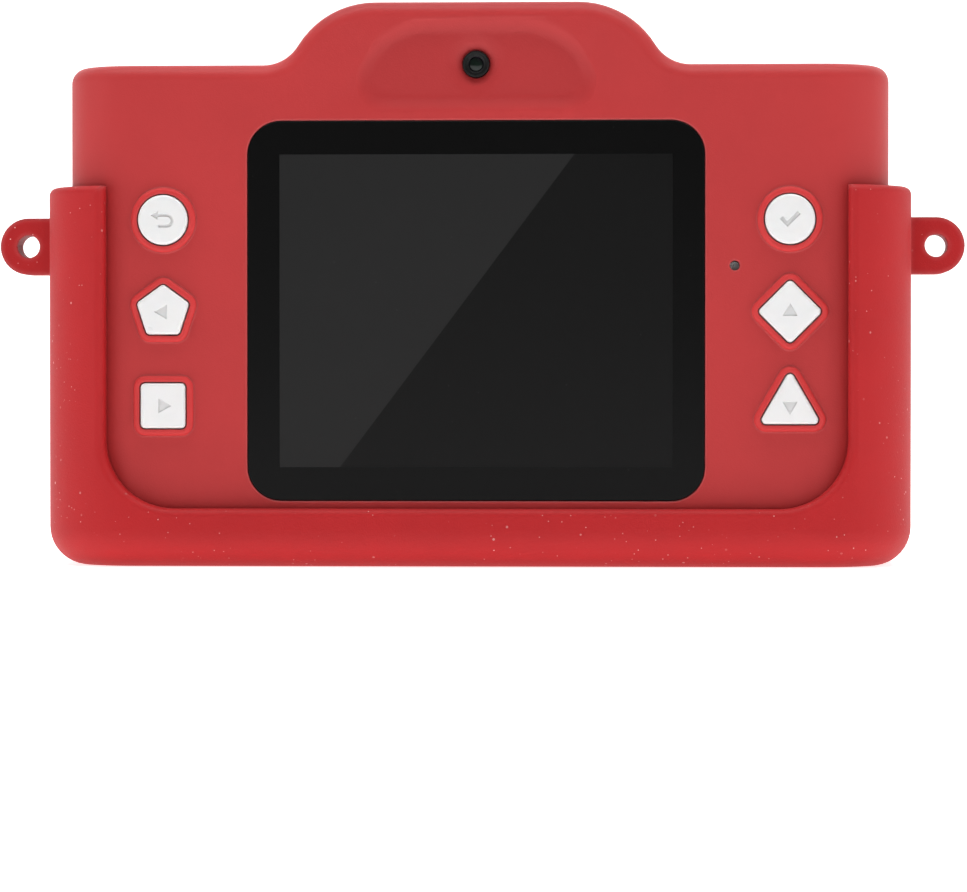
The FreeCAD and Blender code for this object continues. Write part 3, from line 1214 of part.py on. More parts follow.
def front_camera():
    lens = (0, S.front_lens_height)
    bezel_front = front_face + S.bezel_proud
    window = (bezel_front - S.front_window_sunk - S.front_window_thick, bezel_front - S.front_window_sunk)
    throat = S.front_barrel_radius + S.screw_gap
    floor = front_face + S.bezel_floor
    ring = turned("bezel_ring", (
        (throat, front_face), (S.bezel_radius, front_face), (S.bezel_radius, bezel_front - S.bezel_chamfer),
        (S.bezel_radius - S.bezel_chamfer, bezel_front), (S.front_window_radius + S.fit_gap, bezel_front),
        (S.front_window_radius + S.fit_gap, window[0]),
        (S.front_window_radius - S.front_window_seat, window[0]), (throat + S.bezel_dish, floor),
        (throat, floor),
    ), *lens)
    pins = [rod_y(f"bezel_pin_{n}", S.bezel_pin_radius, x, z, (front_inside, front_face + S.bezel_floor))
            for n, (x, z) in enumerate(BEZEL_PINS)]
    bezel = fuse("front_lens_bezel", ring, *pins)
    disc = rod_y("front_lens_window", S.front_window_radius, *lens, window)
    module = box("front_camera_module", around(Size.of(0), S.front_module_side),
                 (front_inside - S.front_module_deep, front_inside),
                 around(S.front_lens_height, S.front_module_side))
    barrel_front = front_face + S.front_barrel_proud
    barrel_rod = rod_y("front_barrel_rod", S.front_barrel_radius, *lens, (front_inside, barrel_front))
    glass_floor = barrel_front - S.front_glass_radius / 2
    barrel_bore = rod_y("front_glass_bore", S.front_glass_radius, *lens, (glass_floor, barrel_front + PAST))
    dome = ball("front_glass_ball", DOME_RADIUS * S.front_glass_radius, 0,
                glass_floor - FRONT_DOME * S.front_glass_radius, S.front_lens_height)
    glass = common("front_lens_glass", dome,
                   rod_y("front_glass_rod", S.front_glass_radius, *lens, (glass_floor, barrel_front + PAST)))
    module_rear = front_inside - S.front_module_deep
    level = front_flex_level()
    flex_y = module_rear + S.flex_forward
    flex = ribbon("front_camera_flex",
                  [(flex_y, S.front_lens_height - S.front_module_side / 2), (flex_y, level),
                   (board_front + S.socket_deep, level)], S.camera_flex_wide)
    return bezel, disc, module, cut("front_lens_barrel", barrel_rod, barrel_bore), glass, flex


# Battery and speaker

def battery():
    middle = S.battery_bottom + S.battery_tall / 2
    pad_front = board_front + S.pad_thick
    cell_front = front_inside - S.front_module_deep - S.battery_gap
    cell = plate("battery", S.battery_wide, S.battery_tall, S.battery_corner, 0, middle,
                 (pad_front, cell_front))
    foam = box("battery_pad", around(Size.of(0), S.battery_wide - 2 * S.pad_inset), (board_front, pad_front),
               around(middle, S.battery_tall - 2 * S.pad_inset))
    plug = box("battery_connector", around(battery_plug_x, S.battery_plug_wide),
               (board_front, board_front + S.battery_plug_deep),
               around(battery_plug_height, S.battery_plug_tall))
    lead_y = (pad_front + cell_front) / 2
    plug_front = board_front + S.battery_plug_deep
    leads = [lead(f"battery_lead_{n}", [(S.battery_wide / 2, lead_y, z), (battery_plug_x, lead_y, z),
                                        (battery_plug_x, plug_front, z)], S.lead_radius)
             for n, z in enumerate(around(battery_plug_height, S.lead_pitch))]
    return cell, foam, plug, group("battery_leads", *leads)


def speaker():
    middle = (-speaker_x, S.speaker_height)
    gasket_rear = front_inside - S.gasket_thick
    gasket = cut("speaker_gasket",
                 rod_y("gasket_outside", S.speaker_radius, *middle, (gasket_rear, front_inside)),
                 rod_y("gasket_bore", S.speaker_bore, *middle, (gasket_rear - PAST, front_inside + PAST)))
    rear = gasket_rear - S.speaker_deep
    basket = rod_y("speaker_basket", S.speaker_radius, *middle, (rear + S.speaker_deep / 2, gasket_rear))
    magnet = rod_y("speaker_magnet", S.magnet_radius, *middle,
                   (rear, rear + S.speaker_deep / 2 + S.magnet_lap))
    body = fuse("speaker", basket, magnet)
    foot_x = S.lead_in - post_low_x
    leads = []
    for n, z in enumerate(around(S.speaker_height, S.lead_pitch)):
        leads.append(lead(f"speaker_lead_{n}", [
            (-speaker_x, rear, z), (-speaker_x, S.lead_bend_near, z),
            (foot_x, -S.lead_bend_far, z - S.lead_drop), (foot_x, board_front, z - S.lead_drop)],
            S.lead_radius))
    return body, gasket, group("speaker_leads", *leads)


def build():
    """Every sub-part, in the order in which the camera goes together."""
    parts = [rear_shell(), front_shell(), silicone_sleeve()]
    parts += screen()
    parts.append(main_board())
    parts += buttons()
    parts += top_buttons()
    parts += switch_bases()
    parts += microphone()
    parts += usb_socket()
    parts += card_slot()
    parts += board_extras()
    parts += rear_camera()
    parts += front_camera()
    parts += battery()
    parts += speaker()
    parts += [shell_screws(), board_screws()]
    return parts


def check(parts):
    """Stop if anything failed to build."""
    for item in doc.Objects:
        if "Invalid" in item.State or "Error" in item.State:
            raise RuntimeError(f"{item.Label} failed to build: {item.State}")
    for part in parts:
        if part.Shape.isNull() or not part.Shape.isValid() or not part.Shape.Solids:
            raise RuntimeError(f"{part.Label} has no valid solid")


sub_parts = build()
doc.recompute()
check(sub_parts)
os.makedirs("parts", exist_ok=True)
for part in sub_parts:
    part.Shape.exportStep(f"parts/{part.Label}.step")
print(f"{len(sub_parts)} sub-parts")
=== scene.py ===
"""Finishes and fine detail for a compact digital camera in a soft sleeve, built around its CAD frame."""

import json
import math

import bmesh
import bpy
from bpy.props import FloatProperty, FloatVectorProperty, IntProperty, PointerProperty
from mathutils import Matrix, Vector


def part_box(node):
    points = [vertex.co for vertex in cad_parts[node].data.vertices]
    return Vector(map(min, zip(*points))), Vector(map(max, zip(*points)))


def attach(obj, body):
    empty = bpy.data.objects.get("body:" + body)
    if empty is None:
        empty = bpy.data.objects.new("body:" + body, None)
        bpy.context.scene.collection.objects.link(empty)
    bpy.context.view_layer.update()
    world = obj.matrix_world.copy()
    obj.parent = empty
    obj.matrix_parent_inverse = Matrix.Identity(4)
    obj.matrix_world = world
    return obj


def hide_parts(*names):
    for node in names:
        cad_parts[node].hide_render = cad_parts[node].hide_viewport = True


bl_info = {
    "name": "Compact Digital Camera",
    "version": (1, 0, 0),
    "blender": (4, 5, 0),
    "location": "3D View > Sidebar > Camera",
    "description": "Dresses the pieces of a compact digital camera and its soft sleeve",
    "category": "Object",
}

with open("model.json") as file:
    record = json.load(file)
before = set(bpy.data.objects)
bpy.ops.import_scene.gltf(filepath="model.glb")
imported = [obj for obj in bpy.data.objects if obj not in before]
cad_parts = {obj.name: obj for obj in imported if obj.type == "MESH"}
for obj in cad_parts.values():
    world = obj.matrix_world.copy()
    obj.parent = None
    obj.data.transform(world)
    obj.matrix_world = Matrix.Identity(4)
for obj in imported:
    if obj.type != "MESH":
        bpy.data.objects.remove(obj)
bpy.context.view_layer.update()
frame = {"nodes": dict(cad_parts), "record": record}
RECORD = frame["record"]
BODY_OF = {node: body for body, nodes in RECORD["behaviour"]["bodies"].items() for node in nodes}
REAR_BUTTONS = ("back", "pentagon", "square", "ok", "diamond", "triangle")
TOP_BUTTONS = ("shutter", "power")
MM = 0.001
MERGE = 0.5e-6   # points of a CAD mesh that are nearer than this are one point
AXIS = 1e-9   # a smaller radius than this is on the axis
GLASS_SHARE = 0.985   # a lens element's radius, as a share of its bore's
RED, BLACK = (180, 20, 22), (22, 22, 22)   # the jackets of the two leads in a pair


def paint(red, green, blue):
    """A colour given in the 0 to 255 steps of a paint chart, as linear light."""
    steps = (red / 255, green / 255, blue / 255)
    return tuple(s / 12.92 if s <= 0.04045 else ((s + 0.055) / 1.055) ** 2.4 for s in steps) + (1.0,)


def at_strength(colour, share):
    """The colour with its light scaled by share."""
    return tuple(min(1.0, c * share) for c in colour[:3]) + (1.0,)


def paler(colour, share):
    """The colour moved that share of the way to white."""
    return tuple(c + (1 - c) * share for c in colour[:3]) + (1.0,)


# ---------- finishes


class Value:
    """A node's output. Arithmetic on it adds the Math nodes that work the sum out."""

    def __init__(self, finish, socket):
        self.finish = finish
        self.socket = socket

    def sum(self, operation, *values):
        return self.finish.node("ShaderNodeMath", {"operation": operation}, dict(enumerate(values)))

    def __add__(self, other):
        return self.sum("ADD", self, other)

    __radd__ = __add__

    def __sub__(self, other):
        return self.sum("SUBTRACT", self, other)

    def __rsub__(self, other):
        return self.sum("SUBTRACT", other, self)

    def __mul__(self, other):
        return self.sum("MULTIPLY", self, other)

    __rmul__ = __mul__

    def __truediv__(self, other):
        return self.sum("DIVIDE", self, other)

    def __abs__(self):
        return self.sum("ABSOLUTE", self)

    def above(self, limit):
        return self.sum("GREATER_THAN", self, limit)

    def below(self, limit):
        return self.sum("LESS_THAN", self, limit)

    def repeat(self, pitch):
        """This value wrapped into one pitch, from 0 to 1."""
        return self.sum("FRACT", self / pitch)

    def ease(self, low, high):
        """0 below low, 1 above high and a smooth rise between."""
        settings = {"interpolation_type": "SMOOTHSTEP"}
        sockets = {"Value": self, "From Min": low, "From Max": high}
        return self.finish.node("ShaderNodeMapRange", settings, sockets)


class Finish:
    """One material and its node tree."""

    def __init__(self, name, **shader):
        self.material = bpy.data.materials.new(name)
        self.material.use_nodes = True
        self.tree = self.material.node_tree
        self.shader = self.tree.nodes["Principled BSDF"]
        self.set(**shader)

    def link(self, socket, value):
        if isinstance(value, Value):
            self.tree.links.new(value.socket, socket)
        else:
            socket.default_value = value

    def node(self, kind, settings=None, sockets=None, output=0):
        """Adds a node: its settings first, then its sockets' values or links."""
        made = self.tree.nodes.new(kind)
        for name, value in (settings or {}).items():
            setattr(made, name, value)
        for name, value in (sockets or {}).items():
            self.link(made.inputs[name], value)
        return Value(self, made.outputs[output])

    def set(self, **sockets):
        """Sets the shader's sockets, named with underscores for spaces."""
        for name, value in sockets.items():
            self.link(self.shader.inputs[name.replace("_", " ")], value)
        return self

    def place(self, axis=None):
        """The point on the piece, or one of its coordinates, in metres."""
        point = self.node("ShaderNodeTexCoord", output="Object")
        return point if axis is None else self.node("ShaderNodeSeparateXYZ", None, {0: point}, axis)

    def noise(self, size, detail=2.0, rough=0.5, stretch=(1, 1, 1)):
        """Soft random variation whose patches are about size metres across."""
        point = self.node("ShaderNodeMapping", None, {"Vector": self.place(), "Scale": stretch})
        sockets = {"Vector": point, "Scale": 1 / size, "Detail": detail, "Roughness": rough}
        return self.node("ShaderNodeTexNoise", None, sockets)

    def cells(self, size):
        """Distance to the nearest of many scattered points that are about size metres apart."""
        return self.node("ShaderNodeTexVoronoi", None, {"Vector": self.place(), "Scale": 1 / size})

    def mix(self, share, first, second):
        """One colour turning into another."""
        sockets = {0: share, 6: first, 7: second}
        return self.node("ShaderNodeMix", {"data_type": "RGBA"}, sockets, 2)

    def soften(self, radius):
        """The surface's direction with its edges eased over radius metres."""
        return self.node("ShaderNodeBevel", {"samples": 6}, {"Radius": radius})

    def edge(self, radius):
        """0 on the flat, rising to 1 on edges and tight bends."""
        true = self.node("ShaderNodeNewGeometry", output="Normal")
        dot = self.node("ShaderNodeVectorMath", {"operation": "DOT_PRODUCT"},
                        {0: self.soften(radius), 1: true}, "Value")
        return (1 - dot).ease(0.0, 0.25)

    def bump(self, height, depth, normal=None):
        """The surface's direction disturbed by height, which is depth metres deep at 1."""
        sockets = {"Height": height, "Distance": depth, "Strength": 1.0}
        if normal is not None:
            sockets["Normal"] = normal
        return self.node("ShaderNodeBump", None, sockets)


def moulded(name, colour, grain, rough=0.5, ease=0.25 * MM, worn=0.25, shine=0.4, relief=None):
    """Moulded plastic: spark-eroded grain, faint flow patches and paler, smoother edges. A relief
    (face, above, reach, proud, sunk) colours what stands in front of the face at y = face, and gives
    painted shade in the sunk colour to what is sunk behind it higher up than above and within reach of the
    middle."""
    made = Finish(name, IOR=1.47, Specular_IOR_Level=shine)
    flow = made.noise(14 * MM, 3)
    edge = made.edge(0.5 * MM)
    base = made.mix(flow, at_strength(colour, 0.86), at_strength(colour, 1.06))
    if relief:
        face, above, reach, proud, sunk = relief
        depth = made.place(1) - face
        base = made.mix(depth.ease(-0.04 * MM, -0.4 * MM), base, proud)
        # painted shade: the floor of the recess round the rear lens takes the darker sunk colour
        inner = depth.ease(0.02 * MM, 0.5 * MM) * depth.below(1.3 * MM) * made.place(2).above(above)
        base = made.mix(inner * abs(made.place(0)).below(reach), base, sunk)
    speck = made.noise(grain, 1)
    return made.set(
        Base_Color=made.mix(edge * worn, base, paler(colour, 0.16)),
        Roughness=rough + (speck - 0.5) * 0.16 - edge * 0.08,
        Normal=made.bump(speck, grain * 0.12, made.soften(ease)),
    ).material


def silicone(name, colour, dust):
    """Matt silicone rubber: powdery bloom, paler where it bends, with tiny specks of dust."""
    made = Finish(name, IOR=1.41, Specular_IOR_Level=0.35)
    edge = made.edge(1.1 * MM)
    bloom = made.noise(9 * MM, 4, 0.6)
    grain = made.noise(0.16 * MM, 2)
    bloomed = made.mix(bloom, at_strength(colour, 0.84), colour)
    base = made.mix(edge * 0.7, bloomed, paler(colour, 0.07))
    patch = made.noise(7 * MM, 3, 0.6).ease(0.42, 0.7)
    specks = made.cells(0.8 * MM).below(dust) + made.cells(1.7 * MM).below(dust * 0.9) * 0.8
    speck = specks * patch
    return made.set(
        Base_Color=made.mix(speck * 0.7, base, paint(240, 205, 200)),
        Roughness=0.6 + (grain - 0.5) * 0.2 + speck * 0.2,
        Normal=made.bump(grain + speck * 0.5, 0.03 * MM, made.soften(0.35 * MM)),
    ).material


def glossy_white(name, colour, centre):
    """Polished white plastic with a little orange peel, and a darker colour in the sign that is cut into
    the cap's face round centre."""
    made = Finish(name, IOR=1.49, Coat_Roughness=0.08, Subsurface_Weight=0.05, Subsurface_Scale=0.002)
    peel = made.noise(1.4 * MM, 2)
    edge = made.edge(0.18 * MM)
    grime = made.noise(3 * MM, 3)
    across, up = made.place(0) - centre[0], made.place(2) - centre[2]
    near = (across * across + up * up).below(3 * MM * MM)
    # the floor of the sign cut into the cap is coloured darker
    sign = (made.place(1) - centre[1]).ease(0.03 * MM, 0.1 * MM) * near
    cap = made.mix(grime * 0.5 + edge * 0.2, colour, at_strength(colour, 0.9))
    return made.set(
        Base_Color=made.mix(sign * 0.55, cap, at_strength(colour, 0.72)),
        Roughness=0.3 + peel * 0.12,
        Coat_Weight=0.25 + peel * 0.1,
        Normal=made.bump(peel, 0.01 * MM, made.soften(0.12 * MM)),
    ).material


def cover_glass(name, middle, opening, border, upper, lower, line):
    """Printed cover glass: black border, and the dark display behind its clear middle.
    A painted reflection lies over the display and ends on a slanting line, so the side above that line looks
    paler."""
    made = Finish(name, IOR=1.5, Specular_IOR_Level=0.12)
    across = made.place(0) - middle[0]
    up = made.place(2) - middle[2]
    half_wide, half_tall = opening
    inside = (half_wide - abs(across)).ease(0, 0.05 * MM) * (half_tall - abs(up)).ease(0, 0.05 * MM)
    # painted reflection: the display is paler above this slanting line
    reflection_slant = ((across - line[0]) * line[2] - (up - line[1])).ease(0.03 * MM, -0.03 * MM)
    fade = made.noise(26 * MM, 1)
    weave = (made.place(0).repeat(0.14 * MM).above(0.5) + made.place(2).repeat(0.14 * MM).above(0.5)) * 0.5
    dark = made.mix(weave * 0.22 + fade * 0.3, lower, at_strength(lower, 0.7))
    reflection_grey = made.mix(fade * 0.5, upper, at_strength(upper, 0.86))
    face = made.mix(inside, border, made.mix(reflection_slant, dark, reflection_grey))
    smear = made.noise(16 * MM, 1)
    dust = made.cells(1.6 * MM).below(0.02)
    return made.set(
        Base_Color=made.mix(dust * 0.25, face, paint(150, 150, 150)),
        Roughness=0.2 + smear * 0.05 + inside * 0.06,
        Normal=made.soften(0.15 * MM),
    ).material


def metal(name, colour, brushed=(1, 1, 12), rough=0.32, scale=0.3 * MM):
    """Drawn or plated metal with the fine lines that its tools leave."""
    made = Finish(name, IOR=2.5)
    lines = made.noise(scale, 3, 0.6, brushed)
    stain = made.noise(4 * MM, 3)
    edge = made.edge(0.2 * MM)
    return made.set(
        Base_Color=made.mix(stain * 0.6 - edge * 0.2, colour, at_strength(colour, 0.72)),
        Metallic=1.0,
        Roughness=rough + (lines - 0.5) * 0.25 + stain * 0.08,
        Normal=made.bump(lines, 0.006 * MM, made.soften(0.08 * MM)),
    ).material


def foam(name, colour):
    """Closed-cell foam: round pores of mixed size, each darkened towards its middle with painted shade."""
    made = Finish(name)
    pores = made.cells(0.32 * MM)
    patch = made.noise(3 * MM, 3)
    # painted shade: each pore is darkened towards its middle
    return made.set(
        Base_Color=made.mix(pores.ease(0.5, 0.1) * 0.8 + patch * 0.2, colour, at_strength(colour, 0.35)),
        Roughness=0.9 - pores * 0.12,
        Normal=made.bump(pores, 0.08 * MM),
    ).material


def circuit_board(name, mask, trace, pitch):
    """Solder mask over etched tracks: routed lines, plated holes and a faint glass weave. The middle of each
    hole is painted near black as painted shade.
    """
    made = Finish(name, IOR=1.5)
    across, up = made.place(0), made.place(2)
    bend = made.noise(6 * MM, 0).ease(0.47, 0.53)
    tracks = (across + bend * 0.5 * pitch).repeat(pitch).ease(0.55, 0.6)
    rows = (up + bend * 0.5 * pitch).repeat(pitch).ease(0.55, 0.6)
    turned = made.noise(9 * MM, 0).above(0.5)
    copper = tracks * turned + rows * (1 - turned)
    hole = made.cells(2.6 * MM)
    ring = hole.below(0.12)
    # painted shade: the middle of each drilled hole is painted near black
    drill = hole.below(0.06)
    weave = (across.repeat(0.35 * MM) + up.repeat(0.35 * MM)) * 0.5
    body = made.mix(copper * 0.6 + weave * 0.12, mask, trace)
    plated = made.mix(ring, body, paint(212, 190, 128))
    return made.set(
        Base_Color=made.mix(drill, plated, paint(12, 14, 12)),
        Metallic=ring * 0.9 - drill * 0.9,
        Roughness=0.36 + weave * 0.1 - ring * 0.08,
        Normal=made.bump(copper * 0.5 + ring * 0.5 - drill, 0.03 * MM),
    ).material


def ribbon_film(name, colour, copper, pitch):
    """Amber flex film with copper lines running along it."""
    made = Finish(name, IOR=1.6)
    line = made.place(0).repeat(pitch).ease(0.45, 0.5)
    cloud = made.noise(3 * MM, 3)
    film = made.mix(cloud, colour, at_strength(colour, 0.7))
    return made.set(
        Base_Color=made.mix(line * 0.8, film, copper),
        Metallic=line * 0.35,
        Roughness=0.3 + cloud * 0.15,
        Normal=made.bump(line, 0.015 * MM, made.soften(0.05 * MM)),
    ).material


def foil_pouch(name, colour, tape, band):
    """Battery pouch: crinkled aluminium laminate with a strip of amber tape at its terminal end."""
    made = Finish(name, IOR=1.8)
    crinkle = made.noise(2.4 * MM, 4, 0.6)
    taped = made.place(0).ease(band - 0.1 * MM, band)
    scratch = made.noise(0.8 * MM, 3, 0.7, (0.1, 1, 1)).ease(0.62, 0.7)
    bare = made.mix(scratch * 0.4 + crinkle * 0.2, colour, paint(150, 152, 156))
    return made.set(
        Base_Color=made.mix(taped, bare, tape),
        Metallic=1 - taped * 0.9,
        Roughness=0.3 + crinkle * 0.18,
        Normal=made.bump(crinkle, 0.14 * MM, made.soften(0.3 * MM)),
    ).material


def coated_lens(name, glow, rim):
    """Multi-coated lens glass: dark, with a green to violet sheen towards its edge."""
    made = Finish(name, IOR=1.5, Specular_IOR_Level=0.3)
    facing = made.node("ShaderNodeLayerWeight", None, {"Blend": 0.4}, "Facing")
    cloud = made.noise(0.7 * MM, 2)
    tint = made.mix((facing + cloud * 0.3).ease(0.15, 0.7), glow, rim)
    return made.set(
        Base_Color=tint,
        Roughness=0.1 + cloud * 0.06,
        Normal=made.soften(0.04 * MM),
    ).material


def clear_plate(name, colour, rough):
    """Clear moulded acrylic with faint handling scratches."""
    made = Finish(name, IOR=1.49)
    lines = made.noise(0.5 * MM, 3, 0.7, (0.15, 1, 1)).ease(0.66, 0.72)
    cloud = made.noise(5 * MM, 2)
    return made.set(
        Base_Color=colour,
        Roughness=rough + cloud * 0.04 + lines * 0.2,
        Alpha=0.1 + cloud * 0.04 + lines * 0.06,
    ).material


def wire_jacket(name, split):
    """Insulated wire, one lead of each colour: split gives the axis and the place that part them."""
    made = Finish(name, IOR=1.45)
    cloud = made.noise(1.5 * MM, 2)
    side = made.place(split[0]).above(split[1])
    return made.set(
        Base_Color=made.mix(side, paint(*BLACK), paint(*RED)),
        Roughness=0.38 + cloud * 0.15,
        Normal=made.bump(cloud, 0.02 * MM),
    ).material


# ---------- pieces


def new_object(name, data):
    """An object with this data, linked into the scene."""
    made = bpy.data.objects.new(name, data)
    bpy.context.scene.collection.objects.link(made)
    return made


def evaluated(piece):
    """A copy of the mesh that a piece has behind its modifiers."""
    graph = bpy.context.evaluated_depsgraph_get()
    graph.update()
    return bpy.data.meshes.new_from_object(piece.evaluated_get(graph), depsgraph=graph)


def loose_mesh(name, work):
    """Turns a bmesh into an object at the origin."""
    mesh = bpy.data.meshes.new(name)
    work.to_mesh(mesh)
    work.free()
    return new_object(name, mesh)


def smooth(work, corner):
    """Smooth shading everywhere but across edges sharper than corner degrees."""
    for face in work.faces:
        face.smooth = True
    for line in work.edges:
        line.smooth = line.is_manifold and line.calc_face_angle(0.0) < math.radians(corner)


def joined_copy(node, name, corner=30):
    """A piece with a CAD node's own shape, its triangles joined so that curves shade smoothly."""
    work = bmesh.new()
    source = frame["nodes"][node].data
    points = [work.verts.new(v.co) for v in source.vertices]
    for polygon in source.polygons:
        try:
            work.faces.new([points[i] for i in polygon.vertices])
        except ValueError:
            continue
    bmesh.ops.remove_doubles(work, verts=work.verts, dist=MERGE)
    smooth(work, corner)
    made = loose_mesh(name, work)
    even = made.modifiers.new("Even shading", "WEIGHTED_NORMAL")
    even.keep_sharp = True
    return made


def dress(piece, material):
    """Gives a piece its only finish."""
    piece.data.materials.clear()
    piece.data.materials.append(material)


def add(piece, node, material):
    """Finishes an extra piece of detail that sits on a CAD node."""
    dress(piece, material)
    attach(piece, BODY_OF[node])
    return piece


def fit(piece, node, material):
    """Finishes a piece that stands for a CAD node."""
    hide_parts(node)
    return add(piece, node, material)


def remade(node, material, name=None, corner=30):
    """A CAD node's shape as a smooth piece with its finish."""
    return fit(joined_copy(node, name or node + "_finished", corner), node, material)


def camera_unit(side):
    """Finishes a camera module and its narrow amber film."""
    black = moulded(side.title() + " module", paint(30, 30, 31), 0.1 * MM, 0.5, 0.12 * MM)
    remade(side + "_camera_module", black)
    amber = ribbon_film(side.title() + " film", paint(190, 112, 38), paint(214, 150, 84), 0.35 * MM)
    remade(side + "_camera_flex", amber, side + "_camera_ribbon", 20)


def turned_box(node):
    """The low and high corners, the middle and the radius of a CAD node that is round about Y."""
    low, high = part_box(node)
    return low, high, (low + high) / 2, (high.x - low.x) / 2


def dome(radius, y, rise, parts):
    """The outline of a lens's curved face, (radius, y) from the rim to the axis. It rises by rise."""
    turns = [i * math.pi / 2 / parts for i in range(parts + 1)]
    return [(max(radius * math.cos(a), 0), y + rise * (1 - math.sin(a))) for a in turns]


def islands(node):
    """The boxes of a CAD node's separate solids, in order along X and then Z."""
    work = bmesh.new()
    work.from_mesh(frame["nodes"][node].data)
    bmesh.ops.remove_doubles(work, verts=work.verts, dist=MERGE)
    left, boxes = set(work.verts), []
    while left:
        todo, found = [left.pop()], []
        while todo:
            vert = todo.pop()
            found.append(vert.co.copy())
            for line in vert.link_edges:
                other = line.other_vert(vert)
                if other in left:
                    left.discard(other)
                    todo.append(other)
        boxes.append([Vector([pick(p[i] for p in found) for i in range(3)]) for pick in (min, max)])
    work.free()
    return sorted(boxes, key=lambda b: (round(b[0].x, 4), round(b[0].z, 4)))


def lathe(name, profile, centre, steps=72, corner=35):
    """A turned piece: a profile of (radius, y) points in metres, spun about the Y axis through
    centre. A profile that starts and ends on the axis makes a closed piece."""
    work = bmesh.new()
    rings = []
    for radius, y in profile:
        turns = [2 * math.pi * step / steps for step in range(steps if radius > AXIS else 1)]
        rings.append([work.verts.new((centre[0] + radius * math.cos(a), y, centre[2] + radius * math.sin(a)))
                      for a in turns])
    for first, second in zip(rings, rings[1:]):
        for step in range(steps):
            after = (step + 1) % steps
            corners = [first[step % len(first)], first[after % len(first)],
                       second[after % len(second)], second[step % len(second)]]
            unique = list(dict.fromkeys(corners))
            if len(unique) > 2:
                work.faces.new(unique)
    bmesh.ops.recalc_face_normals(work, faces=work.faces)
    smooth(work, corner)
    return loose_mesh(name, work)


def bar(name, size, ease, segments=2):
    """A small bar with eased edges, centred on the origin."""
    work = bmesh.new()
    bmesh.ops.create_cube(work, size=1.0, matrix=Matrix.Diagonal((*size, 1.0)))
    bmesh.ops.bevel(work, geom=list(work.edges), offset=ease, segments=segments, profile=0.5, affect="EDGES")
    smooth(work, 40)
    return loose_mesh(name, work)


def repeat_tree():
    """Geometry nodes that set a piece at each point of a mesh, turned by its "turn" values."""
    tree = bpy.data.node_groups.new("Repeat piece", "GeometryNodeTree")
    tree.is_modifier = True
    sockets = (("Points", "Geometry"), ("Piece", "Object"), ("Smallest", "Float"), ("Seed", "Int"),
               ("Finish", "Material"))
    for label, kind in sockets:
        tree.interface.new_socket(label, in_out="INPUT", socket_type="NodeSocket" + kind)
    tree.interface.new_socket("Pieces", in_out="OUTPUT", socket_type="NodeSocketGeometry")
    given = tree.nodes.new("NodeGroupInput").outputs

    def node(kind, **values):
        made = tree.nodes.new(kind)
        for label, value in values.items():
            socket = made.inputs[label.replace("_", " ")]
            if isinstance(value, bpy.types.NodeSocket):
                tree.links.new(value, socket)
            else:
                socket.default_value = value
        return made

    turn = tree.nodes.new("GeometryNodeInputNamedAttribute")
    turn.data_type = "FLOAT_VECTOR"
    turn.inputs["Name"].default_value = "turn"
    size = node("FunctionNodeRandomValue")
    tree.links.new(given["Smallest"], size.inputs[2])
    size.inputs[3].default_value = 1.0
    tree.links.new(given["Seed"], size.inputs["Seed"])
    piece = node("GeometryNodeObjectInfo", Object=given["Piece"], As_Instance=True)
    placed = node("GeometryNodeInstanceOnPoints", Points=given["Points"], Instance=piece.outputs["Geometry"],
                  Rotation=turn.outputs[0], Scale=size.outputs[1])
    solid = node("GeometryNodeRealizeInstances", Geometry=placed.outputs[0])
    coated = node("GeometryNodeSetMaterial", Geometry=solid.outputs[0], Material=given["Finish"])
    tree.links.new(coated.outputs[0], tree.nodes.new("NodeGroupOutput").inputs["Pieces"])
    return tree


def repeated(name, piece, places, material, smallest=1.0, seed=3):
    """One mesh with piece at each (point, turn) of places. The loose piece itself is removed."""
    tree = bpy.data.node_groups.get("Repeat piece") or repeat_tree()
    mesh = bpy.data.meshes.new(name + "_points")
    mesh.from_pydata([point for point, _ in places], [], [])
    turns = mesh.attributes.new("turn", "FLOAT_VECTOR", "POINT")
    turns.data.foreach_set("vector", [value for _, turn in places for value in turn])
    points = new_object(name + "_points", mesh)
    nodes = points.modifiers.new("Repeat", "NODES")
    nodes.node_group = tree
    values = {"Piece": piece, "Smallest": smallest, "Seed": seed, "Finish": material}
    for item in tree.interface.items_tree:
        if item.name in values and item.in_out == "INPUT":
            nodes[item.identifier] = values[item.name]
    made = new_object(name, evaluated(points))
    for spare in (points, piece):
        bpy.data.objects.remove(spare)
    return made


def row(start, step, count, turn=(0, 0, 0)):
    """Evenly spaced places along a line."""
    return [(Vector(start) + Vector(step) * i, turn) for i in range(count)]


def circle(centre, radius, count):
    """Places round the Y axis through centre, each turned to face outwards."""
    angles = [2 * math.pi * i / count for i in range(count)]
    return [((centre[0] + radius * math.cos(a), centre[1], centre[2] + radius * math.sin(a)), (0, -a, 0))
            for a in angles]


# ---------- the camera's own shapes


def smooth_rise(value):
    """0 below 0, 1 above 1 and a smooth rise between."""
    value = min(max(value, 0), 1)
    return value * value * (3 - 2 * value)


